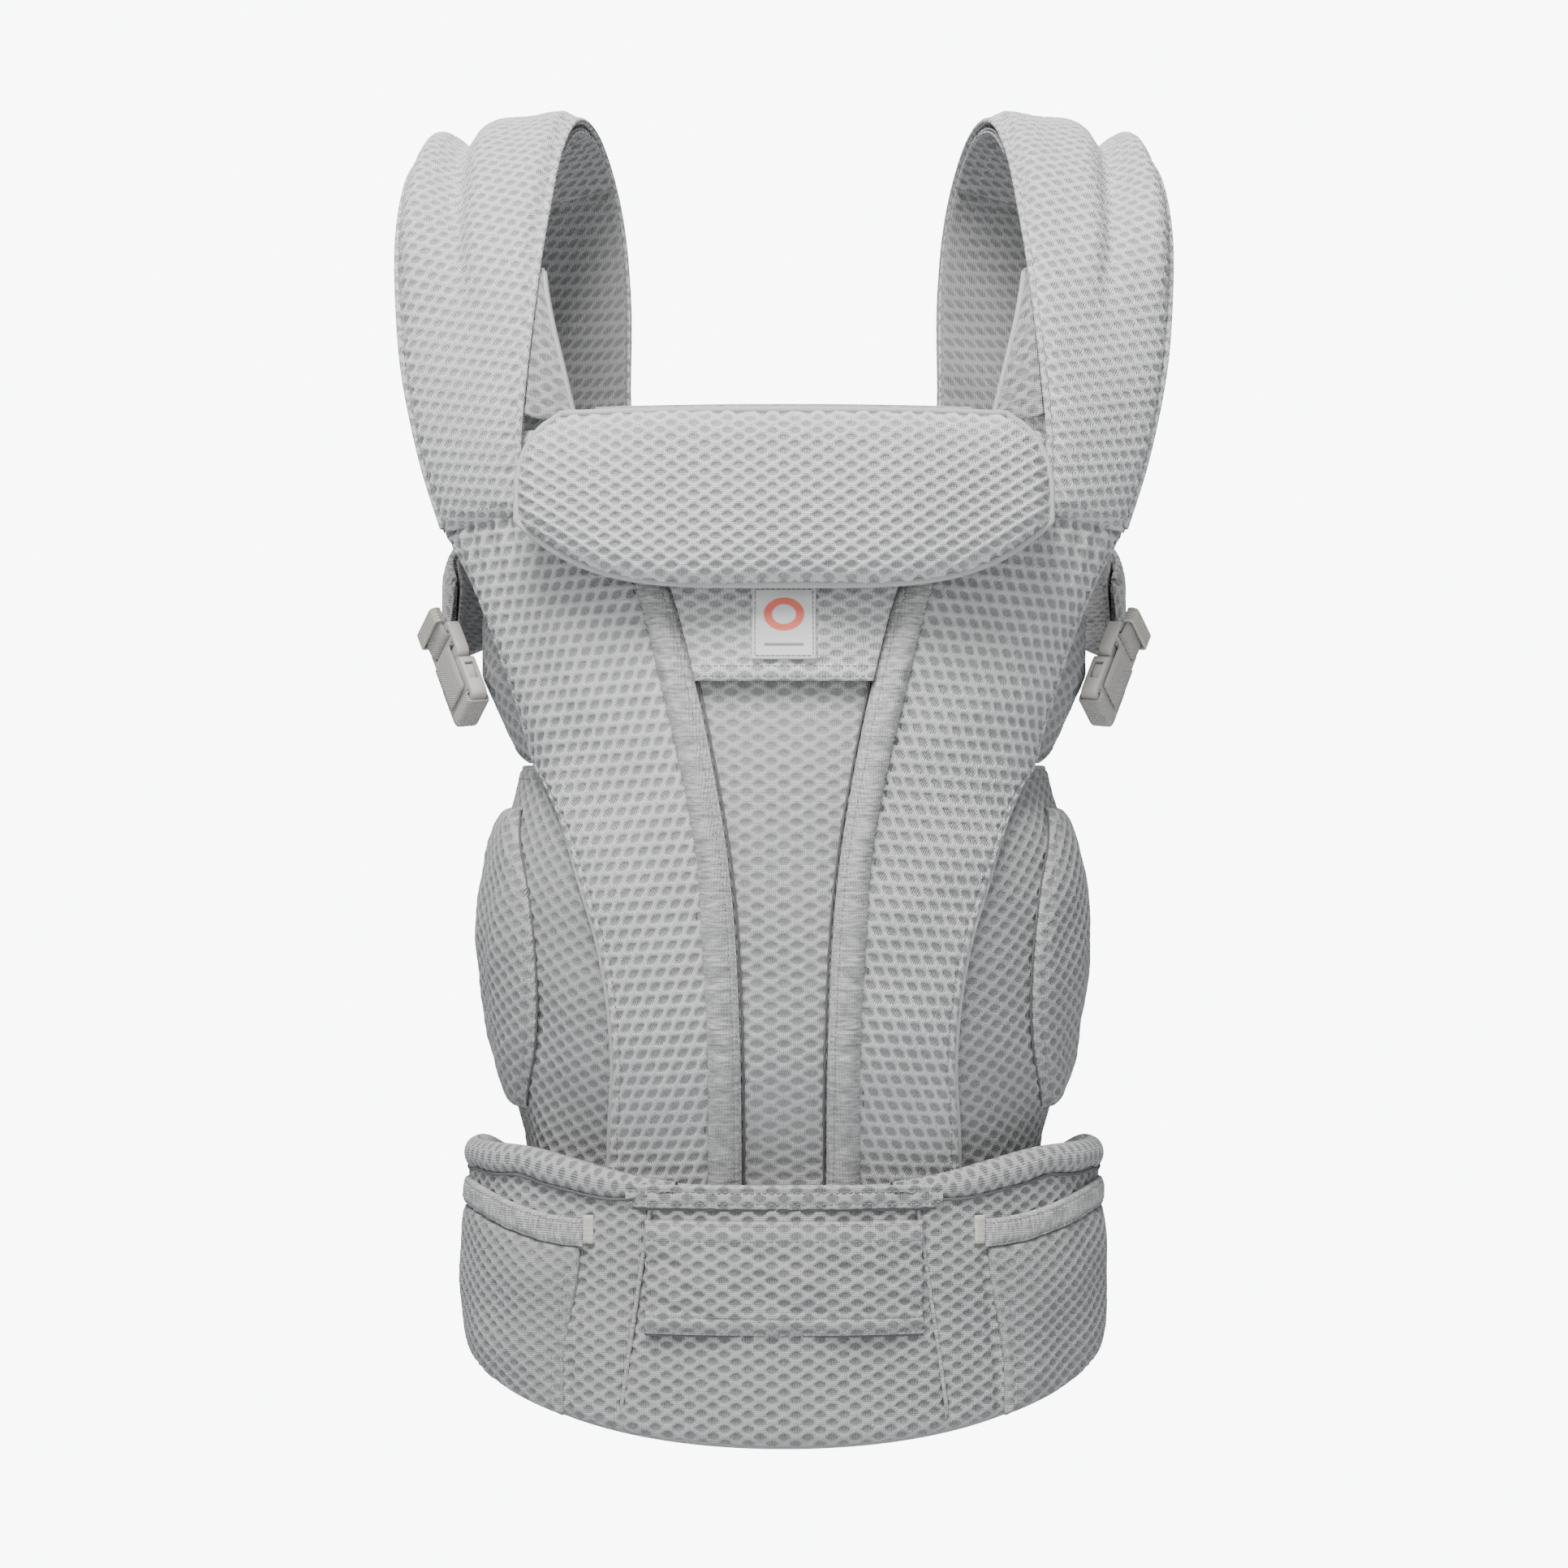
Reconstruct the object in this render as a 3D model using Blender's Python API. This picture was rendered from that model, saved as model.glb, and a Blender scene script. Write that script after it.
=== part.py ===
"""Soft baby carrier in its worn shape: waist belt, body panel, head support, two shoulder straps,
chest strap and four side-release buckles. Metres, +Z up, the panel faces -Y, the wearer stands
inside the belt. The origin is the centre of the wearer's waist at the belt's mid height."""

import math

import bmesh
import bpy
from mathutils import Matrix, Vector

# ---------------------------------------------------------------- driving dimensions
GAP = 0.0004                 # between pieces that rest on each other
BELT_HALF_X = 0.167          # the wearer's waist, half width and half depth
BELT_HALF_Y = 0.122
BELT_END = 128               # degrees from the front to each end of the padded belt
BELT_LOW, BELT_HIGH = -0.0716, 0.0714     # at the front centre
BELT_SIDE_RISE = 0.050       # how much higher the lower edge is at the side
BELT_TOP_RISE = 0.017
LINING, FOAM, COVER = 0.0020, 0.0080, 0.0018
BELT_OUT = LINING + FOAM + COVER + 2 * GAP
POUCH_HALF, POUCH_LOW, POUCH_HIGH, POUCH_THICK = 25.5, -0.0090, 0.0520, 0.0018
POCKET_START, POCKET_END, POCKET_THICK = 39.5, 104, 0.0026
BAND_TOP, BAND_RISE, BAND_HEIGHT = 0.0512, 0.0155, 0.0155

FORM_BACK_Y = -0.015         # centre of the body panel's oval sections
# height, half width, depth of the oval that the body panel follows
FORM = [
    (0.056, 0.152, 0.090), (0.086, 0.150, 0.099), (0.141, 0.163, 0.128), (0.201, 0.171, 0.141),
    (0.251, 0.166, 0.145), (0.300, 0.153, 0.143), (0.341, 0.166, 0.137), (0.401, 0.186, 0.125),
    (0.434, 0.197, 0.118), (0.487, 0.206, 0.105),
]
PANEL_LOW, PANEL_HIGH = 0.056, 0.487
PANEL_ROWS = 16
SIDE_HIGH = 0.300            # top of the side panels, where the buckle guards start
WING_HIGH = 0.432            # seam between wing and shoulder strap
FLAP_LOW = 0.347             # lower edge of the hood pocket's flap

# height and sideways distance of the rails' edges
RAIL_INNER = [(0.056, 0.0240), (0.141, 0.0245), (0.210, 0.0273), (0.254, 0.0317), (0.298, 0.039),
              (0.342, 0.048), (0.382, 0.058), (0.402, 0.064), (0.487, 0.084)]
RAIL_OUTER = [(0.056, 0.0415), (0.141, 0.0405), (0.210, 0.0436), (0.254, 0.0466), (0.298, 0.0546),
              (0.342, 0.065), (0.382, 0.0748), (0.402, 0.080), (0.487, 0.099)]
# height and angle, in degrees from the front, of the wing's outer edge and the leg pad's seam
WING_EDGE = [(0.056, 40), (0.086, 40), (0.141, 35), (0.201, 36), (0.251, 44), (0.291, 60),
             (0.306, 67), (0.341, 68), (0.401, 70), (0.434, 72)]
LEG_SEAM = [(0.108, 72), (0.141, 60), (0.190, 55), (0.235, 59), (0.278, 72)]
GUARD_HALF_X, GUARD_DEPTH, GUARD_THICK = 0.172, 0.106, 0.0050
GUARD_BEND_Z, GUARD_LEAN = 0.352, 0.45      # below this height the guard leans in by this slope
# height, first and last angle of the buckle guard
GUARD_OUTLINE = [(0.3040, 66, 76), (0.3100, 64, 88), (0.3220, 63, 99), (0.3380, 61, 105), (0.3600, 59, 107),
                 (0.3780, 60, 104), (0.3900, 63, 96)]
SHOULDER_EDGE = 44           # the wing above the strap seam is this narrow
LEG_PAD_EDGE = 99
SIDE_EDGE = 90
SIDE_UNDER = 9               # the side panel starts so many degrees under the wing
LINING_EDGE = 84
LABEL_LOW, LABEL_HIGH, LABEL_HALF = 0.3585, 0.3985, 0.0165
# how far each layer of the panel lies out of the form, and its thickness
LAYERS = {
    "panel_lining": (-0.0104, 0.0022), "centre_mesh": (-0.0055, 0.0030), "seat_side": (-0.0066, 0.0034),
    "leg_pad": (-0.0018, 0.0034), "rail": (-0.0010, 0.0078), "wing": (-0.0010, 0.0045),
    "stowed_hood": (-0.0019, 0.0045), "hood_flap": (0.0034, 0.0020), "woven_label": (0.0060, 0.0006),
}

# right strap: centre, outward direction, width, from the wing over the shoulder to the tip
STRAP = [
    ((0.1680, -0.078, 0.434), (0.69, -0.72, 0.00), 0.066),
    ((0.1745, -0.077, 0.479), (0.60, -0.80, 0.05), 0.074),
    ((0.1765, -0.073, 0.525), (0.47, -0.88, 0.10), 0.080),
    ((0.1765, -0.064, 0.567), (0.35, -0.91, 0.22), 0.084),
    ((0.1745, -0.046, 0.608), (0.24, -0.83, 0.50), 0.087),
    ((0.1690, -0.016, 0.643), (0.24, -0.52, 0.82), 0.089),
    ((0.1600, 0.024, 0.659), (0.26, -0.03, 0.96), 0.089),
    ((0.1490, 0.066, 0.650), (0.24, 0.52, 0.82), 0.088),
    ((0.1400, 0.101, 0.622), (0.12, 0.88, 0.44), 0.086),
    ((0.1360, 0.116, 0.583), (0.00, 1.00, 0.00), 0.085),
    ((0.1360, 0.117, 0.530), (0.00, 1.00, 0.00), 0.085),
    ((0.1361, 0.117, 0.478), (0.01, 1.00, 0.00), 0.084),
    ((0.1450, 0.111, 0.452), (0.25, 0.96, -0.03), 0.078),
    ((0.1580, 0.098, 0.426), (0.50, 0.86, -0.05), 0.071),
    ((0.1745, 0.075, 0.407), (0.78, 0.62, -0.05), 0.065),
    ((0.1870, 0.044, 0.394), (0.95, 0.30, 0.00), 0.059),
    ((0.1890, 0.012, 0.3815), (0.98, -0.18, 0.05), 0.053),
]
STRAP_PAD, STRAP_LINING = 0.0105, 0.0030
STRAP_SEAM_GAP = 0.0007      # between pad and lining, which bend on different curves

WEB_SIDE, WEB_WAIST, WEB_CHEST = 0.025, 0.038, 0.025
WEB_THICK = 0.0012
WAIST_WEB_Z = 0.040
LUMBAR_PAD = 0.0065
RAIL_LIFT = STRAP_PAD + 0.0028            # chest strap's rail stands off the pad
CHEST_RAIL = {"stations": (7.6, 11.2), "edges": (-1.02, -0.62)}
CHEST_Z = 0.496
SLIDER = {"half": 0.0135, "low": -0.0026, "high": 0.0036, "corner": 0.003, "slot": (0.0215, 0.0028)}
# fabric between the panel's top corner and the strap: its foot and upper corner on the strap
GUSSET = {"low": 1.25, "high": 3.2, "corner_angle": 34, "half_thick": 0.0012, "gap": 0.0008, "tip": 0.06}

PILLOW_TOP, PILLOW_LOW = 0.4935, 0.3985   # the head support folded down over the panel
PILLOW_HALF = 0.146
PILLOW_CORNER = (0.032, 0.042)            # its upper corners, across and down
PILLOW_CURVE = 0.036                      # its lower edge rises so much to the ends
PILLOW_BACK_Y, PILLOW_DEEP = -0.1435, 0.032
PILLOW_LEAN = 0.0070                      # its lower edge lies this much further forward
PILLOW_SWEEP = 0.030                      # how far its ends turn back
PILLOW_CROWN = (0.14, 0.72, 0.55)         # section: where its arc starts, its span, its fullness
HINGE = (0.0, -0.1360, 0.4965)            # axis that the head support folds about
HINGE_TAPE = {"half_angle": 30, "height": 0.007, "half_thick": 0.002}

COLOURS = {
    "mesh": (0.60, 0.60, 0.59), "lining": (0.42, 0.42, 0.42), "tape": (0.68, 0.68, 0.67),
    "foam": (0.80, 0.80, 0.78), "plastic": (0.47, 0.45, 0.42), "webbing": (0.56, 0.53, 0.49),
    "label": (0.85, 0.85, 0.85),
}


# ---------------------------------------------------------------- small tools
def clear_scene():
    for obj in list(bpy.data.objects):
        bpy.data.objects.remove(obj)


def material(name):
    found = bpy.data.materials.get(name)
    if found:
        return found
    made = bpy.data.materials.new(name)
    made.use_nodes = True
    shader = made.node_tree.nodes["Principled BSDF"]
    shader.inputs["Base Color"].default_value = (*COLOURS[name], 1)
    shader.inputs["Roughness"].default_value = 0.45 if name == "plastic" else 0.9
    shader.inputs["Metallic"].default_value = 0
    return made


def add_object(name, bm, material_name, frame=None, smooth=False):
    bmesh.ops.recalc_face_normals(bm, faces=bm.faces)
    mesh = bpy.data.meshes.new(name)
    bm.to_mesh(mesh)
    bm.free()
    obj = bpy.data.objects.new(name, mesh)
    bpy.context.scene.collection.objects.link(obj)
    mesh.materials.append(material(material_name))
    if frame is not None:
        obj.parent = frame
    if smooth:
        mesh.shade_smooth()
        mesh.set_sharp_from_angle(angle=math.radians(40))
    return obj


def along(table, at):
    """Value at a place, on a smooth curve through a table of (place, value)."""
    places = [row[0] for row in table]
    values = [row[1] for row in table]
    if at <= places[0]:
        return values[0]
    if at >= places[-1]:
        return values[-1]
    i = max(k for k in range(len(places) - 1) if places[k] <= at)
    span = places[i + 1] - places[i]
    t = (at - places[i]) / span

    def slope(k):
        low, high = max(k - 1, 0), min(k + 1, len(places) - 1)
        return (values[high] - values[low]) / (places[high] - places[low]) * span

    a, b = values[i], values[i + 1]
    return (a * (2 * t**3 - 3 * t**2 + 1) + slope(i) * (t**3 - 2 * t**2 + t)
            + b * (3 * t**2 - 2 * t**3) + slope(i + 1) * (t**3 - t**2))


def steps(low, high, count):
    return [low + (high - low) * i / count for i in range(count + 1)]


def ease(t):
    t = min(max(t, 0.0), 1.0)
    return t * t * (3 - 2 * t)


def layer(name, outside, inside, material_name, smooth=True):
    """Closed solid between two grids of points, which have the same rows and columns."""
    bm = bmesh.new()
    rows, columns = len(outside), len(outside[0])
    out = [[bm.verts.new(p) for p in row] for row in outside]
    back = [[bm.verts.new(p) for p in row] for row in inside]
    for r in range(rows - 1):
        for c in range(columns - 1):
            bm.faces.new((out[r][c], out[r][c + 1], out[r + 1][c + 1], out[r + 1][c]))
            bm.faces.new((back[r][c], back[r + 1][c], back[r + 1][c + 1], back[r][c + 1]))
    rim = [(0, c) for c in range(columns)] + [(r, columns - 1) for r in range(1, rows)]
    rim += [(rows - 1, c) for c in range(columns - 2, -1, -1)] + [(r, 0) for r in range(rows - 2, 0, -1)]
    for i, (r, c) in enumerate(rim):
        r2, c2 = rim[(i + 1) % len(rim)]
        bm.faces.new((out[r][c], back[r][c], back[r2][c2], out[r2][c2]))
    return add_object(name, bm, material_name, smooth=smooth)


def rounded_line(corners, radius, segments=3):
    """Points of a line in a plane whose inner corners are rounded."""
    points = [Vector(corners[0])]
    for before, at, after in zip(corners, corners[1:], corners[2:]):
        at = Vector(at)
        start = at + (Vector(before) - at).normalized() * radius
        end = at + (Vector(after) - at).normalized() * radius
        for t in steps(0, 1, segments):
            points.append(start.lerp(at, t).lerp(at.lerp(end, t), t))
    points.append(Vector(corners[-1]))
    return points


def web(name, corners, width, frame, radius=0.0016, thick=WEB_THICK, material_name="webbing"):
    """Webbing that follows a line in its frame's YZ plane and is as wide as X says."""
    line = rounded_line(corners, radius)
    top, bottom = [], []
    for i, p in enumerate(line):
        to_next = (line[min(i + 1, len(line) - 1)] - line[max(i - 1, 0)]).normalized()
        side = Vector((-to_next.y, to_next.x)) * thick / 2
        top.append(p + side)
        bottom.append(p - side)
    bm = bmesh.new()
    outline = top + bottom[::-1]
    ends = [[bm.verts.new((x, p.x, p.y)) for p in outline] for x in (-width / 2, width / 2)]
    count, half = len(outline), len(top)
    for i in range(count):
        j = (i + 1) % count
        bm.faces.new((ends[0][i], ends[0][j], ends[1][j], ends[1][i]))
    for i in range(half - 1):
        a, b = i, i + 1
        c, d = count - 2 - i, count - 1 - i
        for end in ends:
            bm.faces.new((end[a], end[b], end[c], end[d]))
    return add_object(name, bm, material_name, frame)


def block(size, centre):
    bm = bmesh.new()
    bmesh.ops.create_cube(bm, size=1)
    bmesh.ops.scale(bm, vec=size, verts=bm.verts)
    bmesh.ops.translate(bm, vec=centre, verts=bm.verts)
    return bm


def plate(outline, low, high):
    """Prism of an outline in the XY plane, between two heights."""
    bm = bmesh.new()
    face = bm.faces.new([bm.verts.new((x, y, low)) for x, y in outline])
    made = bmesh.ops.extrude_face_region(bm, geom=[face])
    verts = [v for v in made["geom"] if isinstance(v, bmesh.types.BMVert)]
    bmesh.ops.translate(bm, vec=(0, 0, high - low), verts=verts)
    return bm


def round_box(half_x, low_y, high_y, corner, segments=3):
    """Outline of a rectangle with round corners, about the Y axis."""
    points = []
    for cx, cy, start in ((half_x - corner, high_y - corner, 0), (corner - half_x, high_y - corner, 90),
                          (corner - half_x, low_y + corner, 180), (half_x - corner, low_y + corner, 270)):
        for a in steps(start, start + 90, segments):
            r = math.radians(a)
            points.append((cx + corner * math.cos(r), cy + corner * math.sin(r)))
    return points


def combine(obj, other, operation):
    """Joins another object to this one, or takes it away, with a Boolean."""
    other.hide_render = True
    other.display_type = "WIRE"
    modifier = obj.modifiers.new("shape", "BOOLEAN")
    modifier.operation = operation
    modifier.object = other


def cut(obj, bm, frame):
    combine(obj, add_object(obj.name + "_cutter", bm, "plastic", frame), "DIFFERENCE")


def frame_at(name, centre, up, out):
    """Empty whose Y axis runs along the webbing and whose Z axis points away from the wearer."""
    y = Vector(up).normalized()
    z = (Vector(out) - y * Vector(out).dot(y)).normalized()
    x = y.cross(z)
    turn = Matrix((x, y, z)).transposed()
    empty = bpy.data.objects.new(name, None)
    bpy.context.scene.collection.objects.link(empty)
    empty.matrix_world = Matrix.Translation(centre) @ turn.to_4x4()
    return empty


def both_sides():
    return (("left", -1), ("right", 1))


# ---------------------------------------------------------------- belt
def on_belt(degrees, z, lift):
    """Point at an angle from the front, positive to +X, and so far out of the wearer's waist."""
    a = math.radians(degrees)
    normal = Vector((math.sin(a) / BELT_HALF_X, -math.cos(a) / BELT_HALF_Y, 0)).normalized()
    return Vector((BELT_HALF_X * math.sin(a), -BELT_HALF_Y * math.cos(a), z)) + normal * lift


def belt_low(degrees):
    return BELT_LOW + BELT_SIDE_RISE * (1 - math.cos(math.radians(degrees))) ** 1.05


def belt_high(degrees):
    rise = BELT_TOP_RISE * ease((abs(degrees) - 15) / 45)
    fall = 0.020 * ease((abs(degrees) - 95) / (BELT_END - 95))
    return BELT_HIGH + rise - fall


def belt_layer(name, angles, low, high, inner, outer, material_name, rows=2):
    """Layer round the waist between two heights, each a function of the angle."""
    share = steps(0, 1, rows)
    grids = []
    for lift in (outer, inner):
        grids.append([[on_belt(a, low(a) + (high(a) - low(a)) * s, lift) for a in angles] for s in share])
    return layer(name, grids[0], grids[1], material_name)


def build_belt():
    angles = steps(-BELT_END, BELT_END, 32)
    belt_layer("belt_lining", angles, belt_low, belt_high, 0, LINING, "lining")
    foam_in = LINING + GAP
    belt_layer("belt_foam", angles, belt_low, belt_high, foam_in, foam_in + FOAM, "foam", rows=2)
    belt_layer("belt_cover", angles, belt_low, belt_high, BELT_OUT - COVER, BELT_OUT, "mesh")

    lift = BELT_OUT + GAP
    belt_layer("belt_pouch", steps(-POUCH_HALF, POUCH_HALF, 8), lambda a: POUCH_LOW, lambda a: POUCH_HIGH,
               lift, lift + POUCH_THICK, "mesh")

    def band_high(a):
        return BAND_TOP + BAND_RISE * ease((abs(a) - 38) / 45)

    def band_low(a):
        return band_high(a) - BAND_HEIGHT

    for side, sign in both_sides():
        span = steps(sign * POCKET_START, sign * POCKET_END, 8)
        belt_layer(side + "_pocket_band", span, band_low, band_high, lift, lift + POCKET_THICK, "tape")
        belt_layer(side + "_pocket", span, lambda a: belt_low(a) + 0.0010, lambda a: band_low(a) - GAP,
                   lift, lift + POCKET_THICK, "mesh")
    build_lumbar()


def build_lumbar():
    """Lumbar pad between the wearer's back and the belt's webbing, lower and narrower at its ends."""
    def drop(a):
        return 0.00002 * (a - 180) ** 2

    belt_layer("lumbar_pad", steps(146, 214, 10), lambda a: -0.016 + drop(a), lambda a: 0.094 - drop(a), 0,
               LUMBAR_PAD, "mesh")


def build_waist_webbing():
    """The belt's webbing from each padded end to the buckle at the middle of the back."""
    lift, half = BELT_OUT + GAP, WEB_WAIST / 2
    for side, sign, last in (("left", -1, 165.2), ("right", 1, 167.3)):
        belt_layer(side + "_waist_web", steps(sign * 112, sign * last, 12), lambda a: WAIST_WEB_Z - half,
                   lambda a: WAIST_WEB_Z + half, lift, lift + WEB_THICK, "webbing", rows=1)


# ---------------------------------------------------------------- body panel
def on_form(degrees, z, lift):
    """Point of the body panel at an angle from the front and a height, so far out of its form."""
    half = along([(row[0], row[1]) for row in FORM], z)
    deep = along([(row[0], row[2]) for row in FORM], z)
    a = math.radians(degrees)
    normal = Vector((math.sin(a) / half, -math.cos(a) / deep, 0)).normalized()
    return Vector((half * math.sin(a), FORM_BACK_Y - deep * math.cos(a), z)) + normal * lift


def levels(low, high):
    """Heights of a panel layer's rows. Layers share them, so that neighbours bend alike."""
    between = [z for z in steps(PANEL_LOW, PANEL_HIGH, PANEL_ROWS) if low + 0.004 < z < high - 0.004]
    return [low] + between + [high]


def form_angle(x, z):
    """Angle from the front at which the form is this far sideways."""
    half = along([(row[0], row[1]) for row in FORM], z)
    return math.degrees(math.asin(max(-1, min(1, x / half))))


def form_layer(name, heights, inner_edge, outer_edge, material_name, columns):
    """Layer of the panel between two edges, each an angle as a function of the height."""
    lift, thick = LAYERS[name.removeprefix("left_").removeprefix("right_")]
    share = steps(0, 1, columns)
    grids = []
    for out in (lift + thick, lift):
        grids.append([[on_form(inner_edge(z) + (outer_edge(z) - inner_edge(z)) * s, z, out) for s in share]
                      for z in heights])
    return layer(name, grids[0], grids[1], material_name)


def rail_angle(table, z, sign=1):
    return sign * form_angle(along(table, z), z)


def build_panel():
    whole = levels(PANEL_LOW, PANEL_HIGH)
    form_layer("panel_lining", whole, lambda z: -lining_edge(z), lining_edge, "lining", 20)
    form_layer("centre_mesh", whole, lambda z: rail_angle(RAIL_INNER, z, -1) + 0.5,
               lambda z: rail_angle(RAIL_INNER, z) - 0.5, "mesh", 6)
    build_hood_pocket()
    for side, sign in both_sides():
        build_rail(side, sign, whole)
        build_wing(side, sign)
        build_side(side, sign)
        build_guard(side, sign)


def lining_edge(z):
    """The lining covers the seat to its sides, and draws in behind the buckle guards and straps."""
    return LINING_EDGE - 36 * ease((z - 0.270) / 0.030) - 8 * ease((z - 0.44) / 0.04)


def build_hood_pocket():
    """The rolled-up hood behind the upper flap, the flap, and the label sewn on it."""
    def edge(z, back):
        return rail_angle(RAIL_INNER, z) - back

    packed = levels(FLAP_LOW + 0.014, PANEL_HIGH - 0.010)
    form_layer("stowed_hood", packed, lambda z: -edge(z, 3), lambda z: edge(z, 3), "lining", 5)
    flap = levels(FLAP_LOW, PANEL_HIGH - 0.002)
    form_layer("hood_flap", flap, lambda z: -edge(z, 0.6), lambda z: edge(z, 0.6), "mesh", 6)
    form_layer("woven_label", levels(LABEL_LOW, LABEL_HIGH), lambda z: -form_angle(LABEL_HALF, z),
               lambda z: form_angle(LABEL_HALF, z), "label", 2)


def build_rail(side, sign, heights):
    """Padded rail between centre mesh and wing."""
    form_layer(side + "_rail", heights, lambda z: rail_angle(RAIL_INNER, z, sign) + sign * 1.3,
               lambda z: rail_angle(RAIL_OUTER, z, sign) - sign * 0.4, "tape", 2)


def build_wing(side, sign):
    """Outer panel from the belt up to the strap seam, and on to the top edge behind the head support."""
    def outer(z):
        return sign * (along(WING_EDGE, z) if z <= WING_HIGH else SHOULDER_EDGE)

    heights = levels(PANEL_LOW, WING_HIGH) + levels(WING_HIGH + 0.0015, PANEL_HIGH)
    form_layer(side + "_wing", heights, lambda z: rail_angle(RAIL_OUTER, z, sign) + sign * 0.4,
               outer, "mesh", 5)


def build_side(side, sign):
    """Seat side under the wing, and the padded leg edge on it."""
    form_layer(side + "_seat_side", levels(PANEL_LOW, SIDE_HIGH),
               lambda z: sign * (along(WING_EDGE, z) - SIDE_UNDER), lambda z: sign * SIDE_EDGE, "mesh", 7)
    pad = levels(LEG_SEAM[0][0], LEG_SEAM[-1][0])
    form_layer(side + "_leg_pad", pad, lambda z: sign * along(LEG_SEAM, z), lambda z: sign * LEG_PAD_EDGE,
               "mesh", 5)


def build_guard(side, sign):
    """Padded flap under the side buckle. It stands out behind the wing and leans in at its foot."""
    grids = []
    for lift in (0.0, -GUARD_THICK):
        rows = []
        for z, low, high in GUARD_OUTLINE:
            half = GUARD_HALF_X - GUARD_LEAN * max(0, GUARD_BEND_Z - z)
            row = []
            for s in steps(0, 1, 5):
                a = math.radians(sign * (low + (high - low) * s))
                normal = Vector((math.sin(a) / half, -math.cos(a) / GUARD_DEPTH, 0)).normalized()
                flat = Vector((half * math.sin(a), FORM_BACK_Y - GUARD_DEPTH * math.cos(a), z))
                row.append(flat + normal * lift)
            rows.append(row)
        grids.append(rows)
    layer(side + "_buckle_guard", grids[0], grids[1], "mesh")


# ---------------------------------------------------------------- shoulder straps
def strap_place(sign, at):
    """Centre, across, outward direction and width of a strap at a station, a number from 0 up."""
    def read(pick):
        return along([(i, pick(row)) for i, row in enumerate(STRAP)], at)

    def centre_at(t):
        return Vector([along([(i, row[0][k]) for i, row in enumerate(STRAP)], t) for k in range(3)])

    centre = centre_at(at)
    run = (centre_at(min(at + 0.05, len(STRAP) - 1)) - centre_at(max(at - 0.05, 0))).normalized()
    out = Vector([read(lambda row, k=k: row[1][k]) for k in range(3)])
    out = (out - run * out.dot(run)).normalized()
    across = run.cross(out)
    flip = Vector((sign, 1, 1))
    return centre * flip, across * flip, out * flip, read(lambda row: row[2])


def strap_layer(name, sign, stations, edges, lifts, material_name, columns=4):
    """Layer along a strap. The edges are -1 at the strap's inner edge and 1 at its outer one."""
    grids = []
    for lift in (lifts[1], lifts[0]):
        rows = []
        for at in stations:
            centre, across, out, width = strap_place(sign, at)
            low, high = edges(at)
            rows.append([centre + across * (width / 2 * s) + out * lift for s in steps(low, high, columns)])
        grids.append(rows)
    return layer(name, grids[0], grids[1], material_name)


def build_straps():
    last = len(STRAP) - 1
    for side, sign in both_sides():
        stations = steps(0.05, last, 32)
        strap_layer(side + "_strap_pad", sign, stations, lambda at: (-1, 1), (0, STRAP_PAD), "mesh")
        strap_layer(side + "_strap_lining", sign, stations, lambda at: (-0.96, 0.96),
                    (-STRAP_SEAM_GAP - STRAP_LINING, -STRAP_SEAM_GAP), "lining")
        build_gusset(side, sign)
        strap_layer(side + "_chest_rail", sign, steps(*CHEST_RAIL["stations"], 8),
                    lambda at: CHEST_RAIL["edges"], (RAIL_LIFT, RAIL_LIFT + WEB_THICK), "webbing", 1)


def build_gusset(side, sign):
    """Triangle of fabric between the panel's top corner and the inner edge of the strap."""
    low, high, tip = GUSSET["low"], GUSSET["high"], GUSSET["tip"]

    def edge(at):
        centre, across, out, width = strap_place(sign, at)
        return centre - across * (width / 2 + GUSSET["gap"]), out

    foot, _ = edge(low)
    reach = on_form(sign * GUSSET["corner_angle"], PANEL_HIGH, -0.003) + Vector((0, 0, 0.0015)) - foot
    grids = []
    for lift in (GUSSET["half_thick"], -GUSSET["half_thick"]):
        rows = []
        for t in steps(0, 1, 5):
            start, out = edge(low + (high - low) * t)
            share = tip + (1 - tip) * (1 - t) ** 1.2
            rows.append([start + reach * (share * s) + out * lift for s in (0, 0.33, 0.67, 1)])
        grids.append(rows)
    layer(side + "_strap_gusset", grids[0], grids[1], "mesh")


# ---------------------------------------------------------------- head support
def pillow_half(z):
    """Half width of the pillow at a height: round above, straight below."""
    across, down = PILLOW_CORNER
    up = min(max((z - (PILLOW_TOP - down)) / down, 0), 0.97)
    return PILLOW_HALF - across * (1 - math.sqrt(1 - up ** 2))


def pillow_low(x):
    """Lower edge of the pillow, nearly straight in the middle and round at the ends."""
    return PILLOW_LOW + PILLOW_CURVE * (abs(x) / PILLOW_HALF) ** 4


def pillow_point(across, down, lift):
    """Point of the pillow: across from -1 to 1, down from 0 at the top to 1 at the lower edge."""
    x_guess = PILLOW_HALF * across
    low = pillow_low(x_guess)
    z = PILLOW_TOP + (low - PILLOW_TOP) * down
    x = pillow_half(z) * across
    back = PILLOW_BACK_Y - PILLOW_LEAN * down + PILLOW_SWEEP * abs(across) ** 2.2
    return Vector((x, back - lift, z))


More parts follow.
